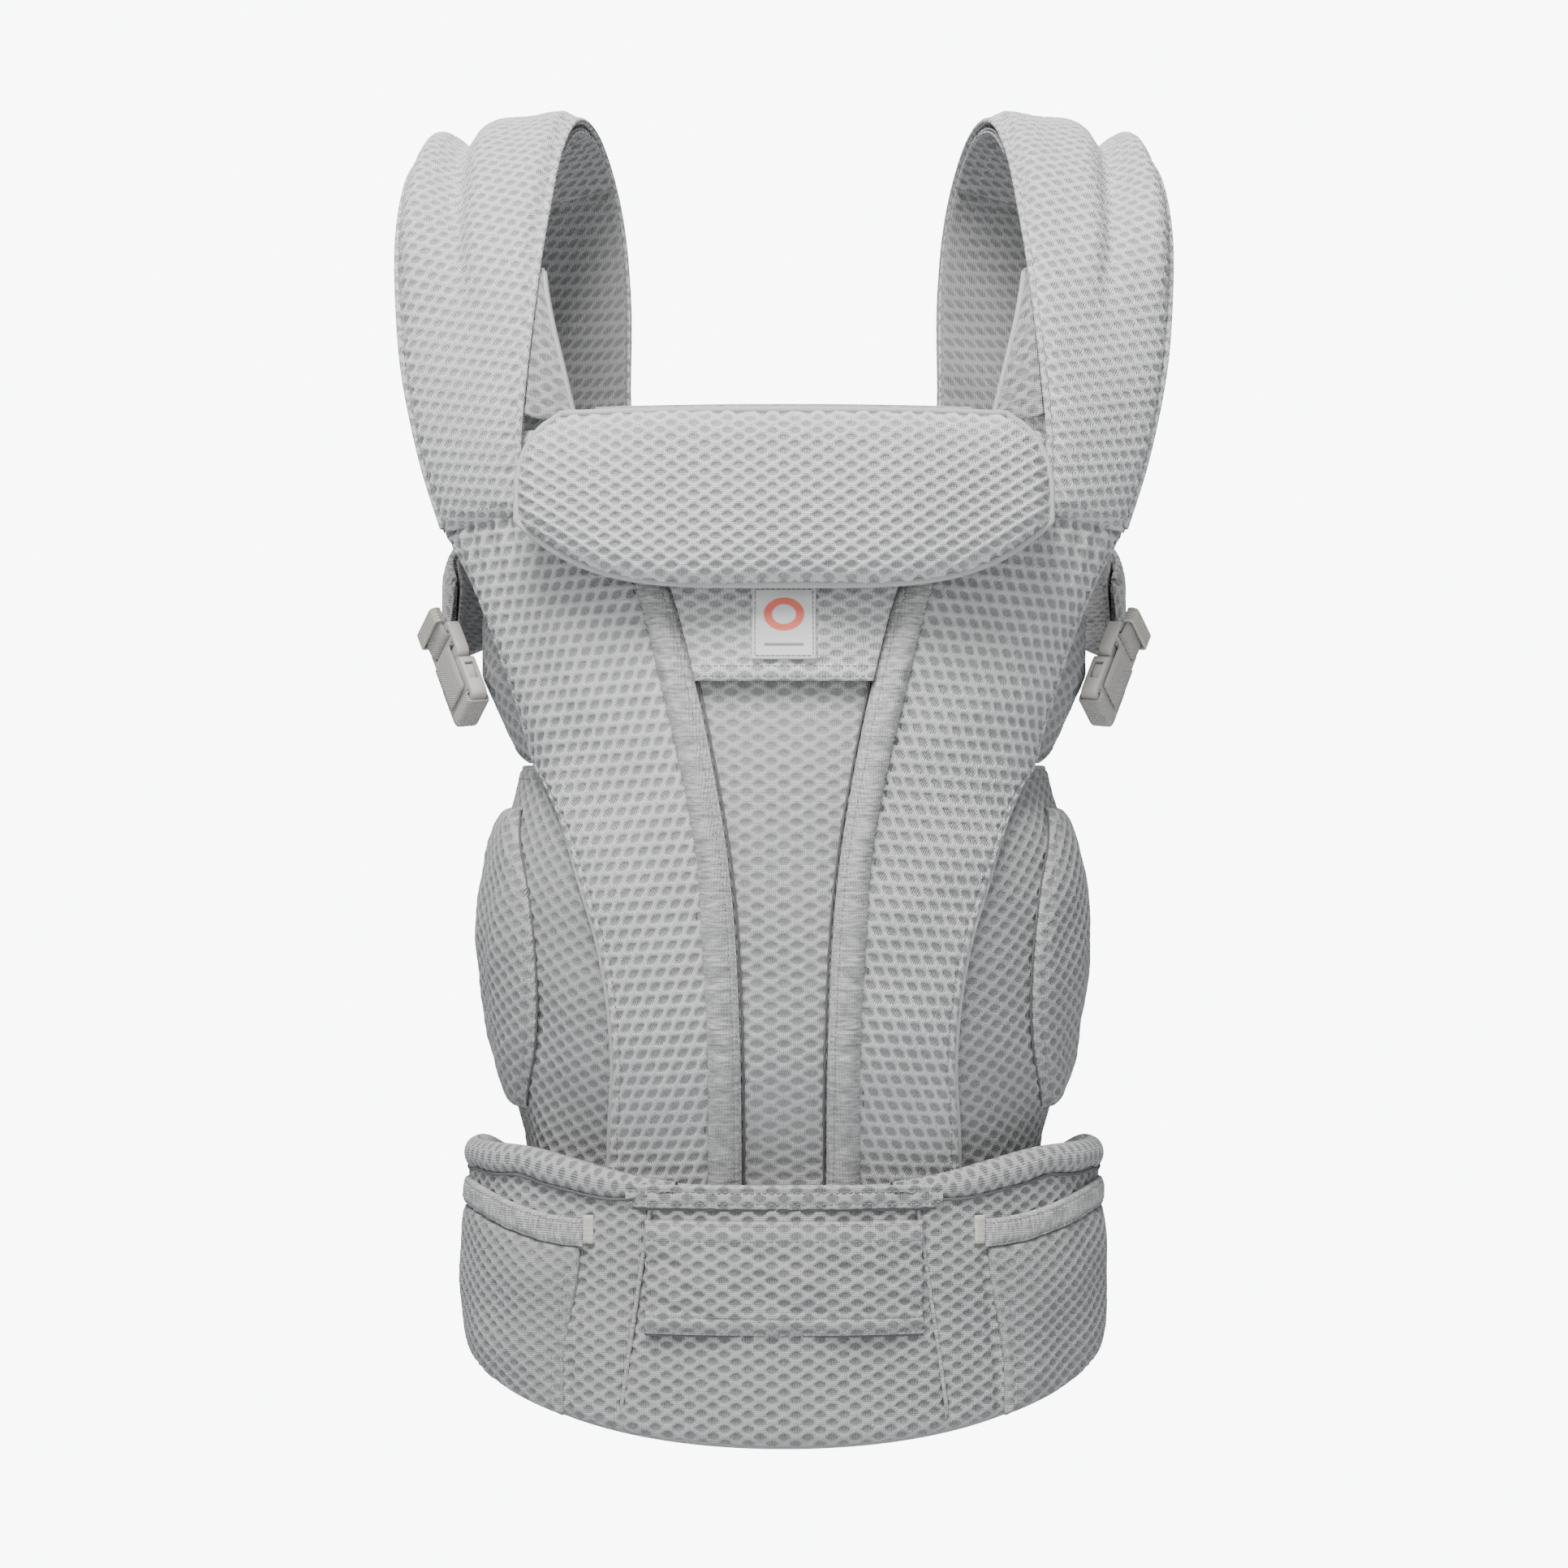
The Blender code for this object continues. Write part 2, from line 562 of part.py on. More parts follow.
def build_head_support():
    across, down = steps(-1, 1, 12), steps(0, 1, 5)
    start, span, fullness = PILLOW_CROWN
    out, back = [], []
    for t in down:
        crown = PILLOW_DEEP * math.sin(math.pi * (start + span * t)) ** fullness
        row = []
        for s in across:
            thin = 1 - 0.55 * abs(s) ** 6
            row.append(pillow_point(s, t, crown * thin))
        out.append(row)
        back.append([pillow_point(s, t, 0) for s in across])
    support = layer("head_support", out, back, "mesh")
    support.data.transform(Matrix.Translation(-Vector(HINGE)))
    support.location = HINGE

    half, height, thick = HINGE_TAPE["half_angle"], HINGE_TAPE["height"], HINGE_TAPE["half_thick"]
    grids = []
    for lift in (thick, -thick):
        foot = [on_form(a, PANEL_HIGH, lift) for a in steps(-half, half, 8)]
        grids.append([[p + Vector((0, 0, rise)) for p in foot] for rise in steps(GAP, GAP + height, 2)])
    layer("head_support_hinge_tape", grids[0], grids[1], "tape")


# ---------------------------------------------------------------- side-release buckle
# Sizes of the buckle for 25 mm webbing. In its frame the plug leaves along +Y and +Z faces out.
BUCKLE = {
    "wall": 0.0040, "corner": 0.0042, "socket": 0.0290, "mouth": 0.0205, "side": 0.0033,
    "window": 0.0114, "window_at": -0.01175, "end_bar": 0.0033, "slot": 0.0036,
    "plug": 0.0244, "first_slot": 0.0098, "second_slot": 0.0168, "guide": 0.0060, "guide_long": 0.0176,
}
BUCKLE_DEEP = {"body": 0.0094, "hollow": 0.0056, "plug": 0.0074, "arm": 0.0048, "guide": 0.0030}
BUCKLE_GAP = 0.0004
# one spring arm seen from above: root, bow, release tab, barb and tip, and back along the inside
ARM = [(0.0072, 0.0000), (0.0104, 0.0000), (0.0122, -0.0062), (0.0156, -0.0074), (0.0161, -0.0100),
       (0.0154, -0.0140), (0.0128, -0.0172), (0.0108, -0.0174), (0.0104, -0.0130), (0.0094, -0.0070)]
ARM_ROOT = 0.0088            # how far sideways each arm's hinge is


def buckle_sizes(web_width):
    """The buckle's sizes along its face, and its thicknesses, which grow less than in proportion."""
    k = web_width / WEB_SIDE
    flat = {key: value * k for key, value in BUCKLE.items()}
    flat["half"] = web_width / 2 + flat["wall"]
    flat["web_slot"] = web_width + 0.0014
    deep = {key: value * k ** 0.6 for key, value in BUCKLE_DEEP.items()}
    return k, flat, deep


def build_buckle(name, frame, web_width):
    """Socket, plug with ladder bars, and the plug's two spring arms."""
    k, flat, deep = buckle_sizes(web_width)
    build_socket(name, frame, flat, deep)
    build_plug(name, frame, flat, deep)
    for end, sign in (("left", -1), ("right", 1)):
        bm = plate([((x - ARM_ROOT) * sign * k, y * k) for x, y in ARM], -deep["arm"] / 2, deep["arm"] / 2)
        arm = add_object(f"{name}_{end}_arm", bm, "plastic", frame)
        arm.location.x = ARM_ROOT * sign * k


def build_socket(name, frame, flat, deep):
    """Flat sleeve open at its mouth, with a window in each side and a slot for its webbing."""
    outline = round_box(flat["half"], -flat["socket"], -BUCKLE_GAP, flat["corner"])
    body = plate(outline, -deep["body"] / 2, deep["body"] / 2)
    socket = add_object(name + "_socket", body, "plastic", frame)
    past = 0.004
    inside = 2 * (flat["half"] - flat["side"])
    sleeve = block((inside, flat["mouth"] + past, deep["hollow"]), (0, (past - flat["mouth"]) / 2, 0))
    cut(socket, sleeve, frame)
    cut(socket, block((4 * flat["half"], flat["window"], deep["hollow"] - 0.0002), (0, flat["window_at"], 0)),
        frame)
    slot_y = -flat["socket"] + flat["end_bar"] + flat["slot"] / 2
    cut(socket, block((flat["web_slot"], flat["slot"], 3 * deep["body"]), (0, slot_y, 0)), frame)


def build_plug(name, frame, flat, deep):
    """Base with two slots that the webbing turns round, and the tongue that guides it into the socket."""
    outline = round_box(flat["half"], BUCKLE_GAP, flat["plug"], flat["corner"])
    plug = add_object(name + "_plug", plate(outline, -deep["plug"] / 2, deep["plug"] / 2), "plastic", frame)
    for slot in ("first_slot", "second_slot"):
        cut(plug, block((flat["web_slot"], flat["slot"], 3 * deep["body"]), (0, flat[slot], 0)), frame)
    root = 0.003
    size = (flat["guide"], flat["guide_long"] + root, deep["guide"])
    tongue = block(size, (0, (root - flat["guide_long"]) / 2, 0))
    combine(plug, add_object(name + "_tongue", tongue, "plastic", frame), "UNION")


def ladder_web(name, frame, width, reach, tail):
    """Webbing from its strap down through the plug's outer slot, up through the inner, and its free tail."""
    _, flat, deep = buckle_sizes(width)
    rest = deep["plug"] / 2 + 0.0011
    over = deep["body"] / 2 + 0.0016
    inner, outer = flat["first_slot"], flat["second_slot"]
    line = [(reach, rest + 0.0020), (outer, rest), (outer, 0), (outer, -rest), (inner, -rest), (inner, over),
            (tail, over)]
    web(name, line, width, frame, radius=0.0011)


def socket_slot(web_width):
    _, flat, deep = buckle_sizes(web_width)
    return -flat["socket"] + flat["end_bar"] + flat["slot"] / 2, deep["body"] / 2 + 0.0014


SIDE_BUCKLE = {"centre": (0.1865, -0.0170, 0.3560), "up": (0.33, 0.47, 0.80), "out": (0.90, -0.42, 0.0)}


def build_side_buckle(side, sign):
    """Buckle between the guard and the strap's tip, with the webbing of both."""
    flip = Vector((sign, 1, 1))
    centre, up, out = (Vector(SIDE_BUCKLE[key]) * flip for key in ("centre", "up", "out"))
    frame = frame_at(side + "_buckle_frame", centre, up, out)
    build_buckle(side + "_buckle", frame, WEB_SIDE)
    slot, clear = socket_slot(WEB_SIDE)
    end = -BUCKLE["socket"] - 0.0016
    web(side + "_socket_web", [(slot + 0.0080, -clear), (end, -clear), (end, clear), (slot, clear),
                               (slot, 0.0016 - clear)], WEB_SIDE, frame, radius=0.0011)
    ladder_web(side + "_strap_web", frame, WEB_SIDE, 0.0345, -0.0200)


def build_chest_strap():
    """Strap across the wearer's back between the two rails, which its sliders ride on."""
    rail_y = STRAP[10][0][1] + RAIL_LIFT + WEB_THICK / 2
    rail_x = STRAP[10][0][0] - STRAP[10][2] / 2 * 0.82
    slider_half, slot_size = SLIDER["half"], SLIDER["slot"]
    frame = frame_at("chest_frame", (0, rail_y + 0.0020, CHEST_Z), (1, 0, 0), (0, 1, 0))
    build_buckle("chest_buckle", frame, WEB_CHEST)
    slot, clear = socket_slot(WEB_CHEST)
    start = rail_x - slider_half - 0.0012
    web("chest_left_web", [(-start, 0), (-0.0420, clear), (slot, clear), (slot, 0.0016 - clear)], WEB_CHEST,
        frame, radius=0.0012)
    ladder_web("chest_right_web", frame, WEB_CHEST, start, -0.0200)
    for side, sign in both_sides():
        place = Vector((sign * rail_x, rail_y, CHEST_Z))
        slider_frame = frame_at(side + "_slider_frame", place, (0, 0, 1), (0, 1, 0))
        outline = round_box(slider_half, -slider_half, slider_half, SLIDER["corner"])
        slider = add_object(side + "_chest_slider", plate(outline, SLIDER["low"], SLIDER["high"]), "plastic",
                            slider_frame)
        cut(slider, block((slot_size[0], 3 * slider_half, slot_size[1]), (0, 0, 0)), slider_frame)


def build_waist_buckle():
    """Buckle of the belt, at the middle of the wearer's back, over the lumbar pad."""
    _, _, deep = buckle_sizes(WEB_WAIST)
    centre = on_belt(180, WAIST_WEB_Z, LUMBAR_PAD + deep["body"] / 2 + 0.0010)
    frame = frame_at("waist_frame", centre, (1, 0, 0), (0, 1, 0))
    build_buckle("waist_buckle", frame, WEB_WAIST)


def main():
    clear_scene()
    build_belt()
    build_waist_webbing()
    build_panel()
    build_straps()
    build_head_support()
    for side, sign in both_sides():
        build_side_buckle(side, sign)
    build_chest_strap()
    build_waist_buckle()


main()
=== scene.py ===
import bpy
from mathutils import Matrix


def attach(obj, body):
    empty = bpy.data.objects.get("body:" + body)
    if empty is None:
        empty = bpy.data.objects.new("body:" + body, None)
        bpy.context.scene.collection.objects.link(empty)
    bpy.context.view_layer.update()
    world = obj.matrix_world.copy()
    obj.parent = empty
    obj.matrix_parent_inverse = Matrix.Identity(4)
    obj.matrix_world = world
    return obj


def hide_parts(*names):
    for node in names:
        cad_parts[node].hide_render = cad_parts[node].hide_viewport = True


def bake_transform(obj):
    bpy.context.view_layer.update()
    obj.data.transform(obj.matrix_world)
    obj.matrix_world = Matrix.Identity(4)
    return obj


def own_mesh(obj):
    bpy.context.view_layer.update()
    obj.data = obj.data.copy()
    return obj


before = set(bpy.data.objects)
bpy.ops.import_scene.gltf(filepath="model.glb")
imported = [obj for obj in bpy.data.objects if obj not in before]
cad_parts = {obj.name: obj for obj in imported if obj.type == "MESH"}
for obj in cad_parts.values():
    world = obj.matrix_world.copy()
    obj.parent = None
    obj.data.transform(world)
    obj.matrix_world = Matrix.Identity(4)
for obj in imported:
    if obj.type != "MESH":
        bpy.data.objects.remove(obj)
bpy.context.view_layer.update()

import math

import bmesh
import bpy
import numpy as np
from mathutils import Matrix, Vector

bothSides = (("left", -1), ("right", 1))
bpy.ops.object.select_all(action="DESELECT")
print("frame loaded:", len(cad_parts), "nodes")


# maths on curves and grids

def curve(table, at):    # smooth curve through a table of places and values
    places, values = np.array([row[0] for row in table], float), np.array([row[1] for row in table], float)
    at = np.clip(np.asarray(at, float), places[0], places[-1])
    i = np.clip(np.searchsorted(places, at, side="right") - 1, 0, len(places) - 2)
    low = np.clip(np.arange(len(places)) - 1, 0, None)
    high = np.clip(np.arange(len(places)) + 1, None, len(places) - 1)
    slope = (values[high] - values[low]) / (places[high] - places[low])
    span = places[i + 1] - places[i]
    t = (at - places[i]) / span
    return (values[i] * (2 * t**3 - 3 * t**2 + 1) + slope[i] * span * (t**3 - 2 * t**2 + t)
            + values[i + 1] * (3 * t**2 - 2 * t**3) + slope[i + 1] * span * (t**3 - t**2))


def ease(t):
    t = np.clip(t, 0.0, 1.0)
    return t * t * (3 - 2 * t)


def bell(x, width):
    return np.exp(-(x / width) ** 2)


def roll(distance, radius):    # 0 at an edge, 1 further in than the radius, round in between
    return np.sqrt(np.clip(1 - (1 - np.clip(distance / radius, 0, 1)) ** 2, 0, 1))


def unit(v):
    return v / np.maximum(np.linalg.norm(v, axis=-1, keepdims=True), 1e-12)


def weights(count, size):    # Catmull-Rom weights that bring a row of points to another count
    at = np.linspace(0, size - 1, count)
    i = np.clip(at.astype(int), 0, size - 2)
    t = at - i
    w = np.zeros((count, size + 2))
    rows = np.arange(count)
    for k, value in enumerate((-0.5 * t**3 + t**2 - 0.5 * t, 1.5 * t**3 - 2.5 * t**2 + 1,
                               -1.5 * t**3 + 2 * t**2 + 0.5 * t, 0.5 * t**3 - 0.5 * t**2)):
        w[rows, i + k] += value
    inner = w[:, 1:-1].copy()    # past an end the row goes on straight
    inner[:, 0] += 2 * w[:, 0]
    inner[:, 1] -= w[:, 0]
    inner[:, -1] += 2 * w[:, -1]
    inner[:, -2] -= w[:, -1]
    return inner


def resample(grid, rows, columns):
    return np.einsum("ar,bc,rcd->abd", weights(rows, grid.shape[0]), weights(columns, grid.shape[1]), grid)


def lengths(grid, axis):    # running length down the rows (axis 0) or along the columns (axis 1)
    steps = np.linalg.norm(np.diff(grid, axis=axis), axis=2)
    first = np.zeros_like(steps[:1] if axis == 0 else steps[:, :1])
    return np.concatenate([first, np.cumsum(steps, axis=axis)], axis)


def runLength(path):    # length run along a path at each of its points
    return np.concatenate([[0], np.cumsum(np.linalg.norm(np.diff(path, axis=0), axis=1))])


def edgeDistance(grid):    # distance from the nearest of the four edges, and from each of them
    across, down = lengths(grid, 1), lengths(grid, 0)
    sides = (across, across[:, -1:] - across, down, down[-1:] - down)
    return np.minimum.reduce(sides), sides


def stripMap(sides):    # across from a strip's middle, and along it
    return sides[0] - (sides[0] + sides[1]) / 2, sides[2]


def normals(grid):
    return unit(np.cross(np.gradient(grid, axis=1), np.gradient(grid, axis=0)))


def turned(u, v, degrees):
    c, s = math.cos(math.radians(degrees)), math.sin(math.radians(degrees))
    return u * c + v * s, v * c - u * s


def waves(u, v, size, seed):    # smooth uneven field, about -1 to 1, from crossed waves
    rng = np.random.default_rng(seed)
    total = 0
    for _ in range(9):
        turn, phase = rng.uniform(0, 2 * np.pi, 2)
        rate = 2 * np.pi / (size * rng.uniform(0.6, 1.7))
        total = total + np.sin(rate * (u * np.cos(turn) + v * np.sin(turn)) + phase)
    return total / 3


# the air mesh's lattice: cell width and height, how square its dimples are, where their walls start and end
meshCell = {"width": 0.0124, "height": 0.0077, "power": 3.0, "start": 0.47, "full": 0.28}
wingTurn, strapTurn = -35.0, -19.0    # how far the lattice is turned on a piece, and its size on others
sideLattice, beltSize, centreSize = (8.0, 1.14), 1.06, 1.08


def dimple(u, v, turn=0.0, size=1.0):    # 1 in the middle of a dimple and 0 on the ridges
    a, b = turned(u, v, turn)
    p = (a / meshCell["width"] + b / meshCell["height"]) / size
    q = (a / meshCell["width"] - b / meshCell["height"]) / size
    r = (np.abs(p - np.round(p)) ** meshCell["power"] + np.abs(q - np.round(q)) ** meshCell["power"])
    return ease((meshCell["start"] - r ** (1 / meshCell["power"])) / (meshCell["start"] - meshCell["full"]))


# meshes from grids

def meshObject(name, points, faceSets, uv=None):
    mesh = bpy.data.meshes.new(name)
    corners = np.concatenate([f.ravel() for f in faceSets]).astype(np.int32)
    sizes = np.concatenate([np.full(len(f), f.shape[1]) for f in faceSets])
    mesh.vertices.add(len(points))
    mesh.vertices.foreach_set("co", np.asarray(points, np.float32).ravel())
    mesh.loops.add(len(corners))
    mesh.loops.foreach_set("vertex_index", corners)
    mesh.polygons.add(len(sizes))
    mesh.polygons.foreach_set("loop_start", (np.cumsum(sizes) - sizes).astype(np.int32))
    mesh.update(calc_edges=True)
    if uv is not None:
        mesh.uv_layers.new(name="weave").data.foreach_set("uv", np.asarray(uv, np.float32)[corners].ravel())
    mesh.polygons.foreach_set("use_smooth", np.ones(len(sizes), bool))
    mesh.validate()
    obj = bpy.data.objects.new(name, mesh)
    bpy.context.scene.collection.objects.link(obj)
    return obj


def ring(index):    # a grid's outermost entries in order round its edge
    return np.concatenate([index[0, :-1], index[:-1, -1], index[-1, :0:-1], index[:0:-1, 0]])


def edgeLoop(grid, overlap):    # a grid's edge as one closed path
    loop = ring(grid)
    return np.concatenate([loop, loop[:overlap]])


def border(shape):    # the outermost points of a grid
    edge = np.zeros(shape, bool)
    edge[[0, -1]] = edge[:, [0, -1]] = True
    return edge


def shellFaces(rows, columns, coarse):    # closed shell: a fine outer grid and a coarser inner one
    fine = np.arange(rows * columns).reshape(rows, columns)
    a, b, c, d = fine[:-1, :-1], fine[:-1, 1:], fine[1:, 1:], fine[1:, :-1]
    rows, columns = (rows - 1) // coarse + 1, (columns - 1) // coarse + 1
    back = np.arange(rows * columns).reshape(rows, columns) + fine.size
    e, f, g, h = back[:-1, :-1], back[:-1, 1:], back[1:, 1:], back[1:, :-1]
    quads = np.concatenate([np.stack([a, b, c, d], -1).reshape(-1, 4),
                            np.stack([e, h, g, f], -1).reshape(-1, 4)])
    rim, seam = ring(fine), ring(back)
    k, j = np.arange(len(rim)), np.arange(len(seam))
    near = ((k + coarse // 2) // coarse) % len(seam)
    turn = (coarse * (j + 1) - coarse // 2) % len(rim)
    tris = np.concatenate([np.stack([rim, seam[near], np.roll(rim, -1)], -1),
                           np.stack([rim[turn], seam, np.roll(seam, -1)], -1)])
    return [quads, tris]


# no body: the piece is left without a parent
def finishPiece(obj, finish, nodes=(), body="carrier"):
    obj.data.materials.clear()
    obj.data.materials.append(finishes[finish])
    if body:
        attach(obj, body)
    if nodes:
        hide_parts(*nodes)
    return obj


# a closed shell of cloth, from a grid and how far its outside and inside lie from it; sign -1 mirrors it
def quilt(name, sign, base, normal, outLift, inLift, uv, finish, nodes=(), body="carrier",
          coarse=4, innerGrid=None, seams=()):
    rows, columns = base.shape[:2]
    outer = base + normal * np.broadcast_to(outLift, (rows, columns))[..., None]
    if innerGrid is None:
        innerGrid = base + normal * np.broadcast_to(inLift, (rows, columns))[..., None]
    inner = innerGrid[::coarse, ::coarse]
    points = np.concatenate([outer.reshape(-1, 3), inner.reshape(-1, 3)])
    flatUv = np.concatenate([np.stack(uv, -1).reshape(-1, 2),
                             np.stack(uv, -1)[::coarse, ::coarse].reshape(-1, 2)])
    faces = shellFaces(rows, columns, coarse)
    if sign < 0:
        points, faces = points * (-1, 1, 1), [f[:, ::-1] for f in faces]
    obj = finishPiece(meshObject(name, points, faces, flatUv), finish, nodes, body)
    for seam in seams:
        sewGrid(body, outer * (sign, 1, 1), normals(outer) * (sign, 1, 1), *seam)
    return obj


def tidyCount(length, step, coarse=4):    # points along a length, so that the coarse grid fits
    return max(1, round(length / step / coarse)) * coarse + 1


def tube(path, radius, sides=8, flat=1.0, hint=(0, 0, 1)):    # points, faces, uv of a closed round cord
    path = np.asarray(path, float)
    run = unit(np.gradient(path, axis=0))
    side = np.zeros_like(run)
    last = np.asarray(hint, float)
    for i, way in enumerate(run):
        last = last - way * (last @ way)
        last = last / max(np.linalg.norm(last), 1e-9)
        side[i] = last
    other = np.cross(run, side)
    size = np.broadcast_to(radius, len(path))
    turn = np.arange(sides) * 2 * np.pi / sides
    rings = (path[:, None] + side[:, None] * (np.cos(turn) * flat)[None, :, None] * size[:, None, None]
             + other[:, None] * np.sin(turn)[None, :, None] * size[:, None, None])
    count = len(path)
    points = np.concatenate([rings.reshape(-1, 3), path[:1] - run[:1] * size[0] * 0.5,
                             path[-1:] + run[-1:] * size[-1] * 0.5])
    i, j = np.meshgrid(np.arange(count - 1), np.arange(sides), indexing="ij")
    k = (j + 1) % sides
    quads = np.stack([i * sides + j, (i + 1) * sides + j, (i + 1) * sides + k, i * sides + k],
                     -1).reshape(-1, 4)
    j, k = np.arange(sides), (np.arange(sides) + 1) % sides
    first, end = count * sides, count * sides + 1
    tris = np.concatenate([np.stack([np.full(sides, first), j, k], -1),
                           np.stack([np.full(sides, end), (count - 1) * sides + k, (count - 1) * sides + j],
                                    -1)])
    along = runLength(path)
    uv = np.stack(np.broadcast_arrays(turn[None] * np.mean(size), along[:, None]), -1).reshape(-1, 2)
    uv = np.concatenate([uv, [[0, 0], [0, along[-1]]]])
    return points, [quads, tris[:, ::-1]], uv


def joined(name, parts, finish, body="carrier"):    # several closed shapes as one piece
    points, quads, tris, uvs, offset = [], [], [], [], 0
    for partPoints, (q, t), uv in parts:
        points.append(partPoints)
        quads.append(q + offset)
        tris.append(t + offset)
        uvs.append(uv)
        offset += len(partPoints)
    obj = meshObject(name, np.concatenate(points), [np.concatenate(quads), np.concatenate(tris)],
                     np.concatenate(uvs))
    bm = bmesh.new()
    bm.from_mesh(obj.data)
    if bm.calc_volume(signed=True) < 0:
        bmesh.ops.reverse_faces(bm, faces=bm.faces)
        bm.to_mesh(obj.data)
    bm.free()
    return finishPiece(obj, finish, (), body)


def cords(name, paths, radius, finish, body="carrier", side=1, sides=8, flat=1.0,
          hint=(0, 0, 1)):
    return joined(name, [tube(p * (side, 1, 1), radius, sides, flat, hint) for p in paths], finish, body)


# stitching: every seam adds its stitches here, and each body's are made into one piece at the end
stitch = {"pitch": 0.0036, "length": 0.0026, "width": 0.00062, "height": 0.00042, "sunk": 0.0001}
sewn = {}


def sample(grid, row, column):    # point of a grid at a place between its points
    row = np.clip(row, 0, grid.shape[0] - 1.001)
    column = np.clip(column, 0, grid.shape[1] - 1.001)
    i, j = row.astype(int), column.astype(int)
    a, b = (row - i)[:, None], (column - j)[:, None]
    return ((grid[i, j] * (1 - b) + grid[i, j + 1] * b) * (1 - a)
            + (grid[i + 1, j] * (1 - b) + grid[i + 1, j + 1] * b) * a)


def sew(body, points, normal, pitch=None):    # stitches along a line on a surface
    pitch = pitch or stitch["pitch"]
    along = runLength(points)
    places = np.arange(pitch / 2, along[-1], pitch)
    if len(places) < 2:
        return
    centre = np.stack([np.interp(places, along, points[:, k]) for k in range(3)], -1)
    ahead = np.stack([np.interp(places + pitch / 4, along, points[:, k]) for k in range(3)], -1)
    up = unit(np.stack([np.interp(places, along, normal[:, k]) for k in range(3)], -1))
    sewn.setdefault(body, []).append((centre, unit(ahead - centre + 1e-9), up))


def sewGrid(body, grid, normal, rows, columns, pitch=None):    # rows and columns as shares of the grid
    count = 200
    r = np.broadcast_to(np.interp(np.linspace(0, 1, count), np.linspace(0, 1, np.size(rows)),
                                  np.atleast_1d(rows)), count) * (grid.shape[0] - 1)
    c = np.broadcast_to(np.interp(np.linspace(0, 1, count), np.linspace(0, 1, np.size(columns)),
                                  np.atleast_1d(columns)), count) * (grid.shape[1] - 1)
    sew(body, sample(grid, r, c), unit(sample(normal, r, c)), pitch)


def makeStitches():
    half, wide, high, low = stitch["length"] / 2, stitch["width"] / 2, stitch["height"], -stitch["sunk"]
    shape = [(-half, -wide, low), (half, -wide, low), (half, wide, low), (-half, wide, low),
             (-half * 0.55, -wide * 0.6, high), (half * 0.55, -wide * 0.6, high),
             (half * 0.55, wide * 0.6, high), (-half * 0.55, wide * 0.6, high)]
    faces = np.array([(0, 3, 2, 1), (4, 5, 6, 7), (0, 1, 5, 4), (1, 2, 6, 5), (2, 3, 7, 6), (3, 0, 4, 7)])
    for body, lines in sewn.items():
        centre, run, up = (np.concatenate([line[k] for line in lines]) for k in range(3))
        side = unit(np.cross(up, run))
        points = np.concatenate([(centre + run * x + side * y + up * z)[:, None] for x, y, z in shape], 1)
        every = (faces[None] + 8 * np.arange(len(centre))[:, None, None]).reshape(-1, 4)
        uv = np.zeros((len(centre) * 8, 2))
        obj = meshObject(("" if body == "carrier" else body + "_") + "stitching", points.reshape(-1, 3),
                         [every], uv)
        finishPiece(obj, "thread", body=body)


# shader maths: a Wire is a socket that takes part in sums

class Wire:
    def __init__(self, finish, socket):
        self.finish, self.socket = finish, socket

    def __add__(self, other): return self.finish.sum("ADD", self, other)
    def __radd__(self, other): return self.finish.sum("ADD", other, self)
    def __sub__(self, other): return self.finish.sum("SUBTRACT", self, other)
    def __rsub__(self, other): return self.finish.sum("SUBTRACT", other, self)
    def __mul__(self, other): return self.finish.sum("MULTIPLY", self, other)
    def __rmul__(self, other): return self.finish.sum("MULTIPLY", other, self)
    def __truediv__(self, other): return self.finish.sum("DIVIDE", self, other)
    def __pow__(self, other): return self.finish.sum("POWER", self, other)


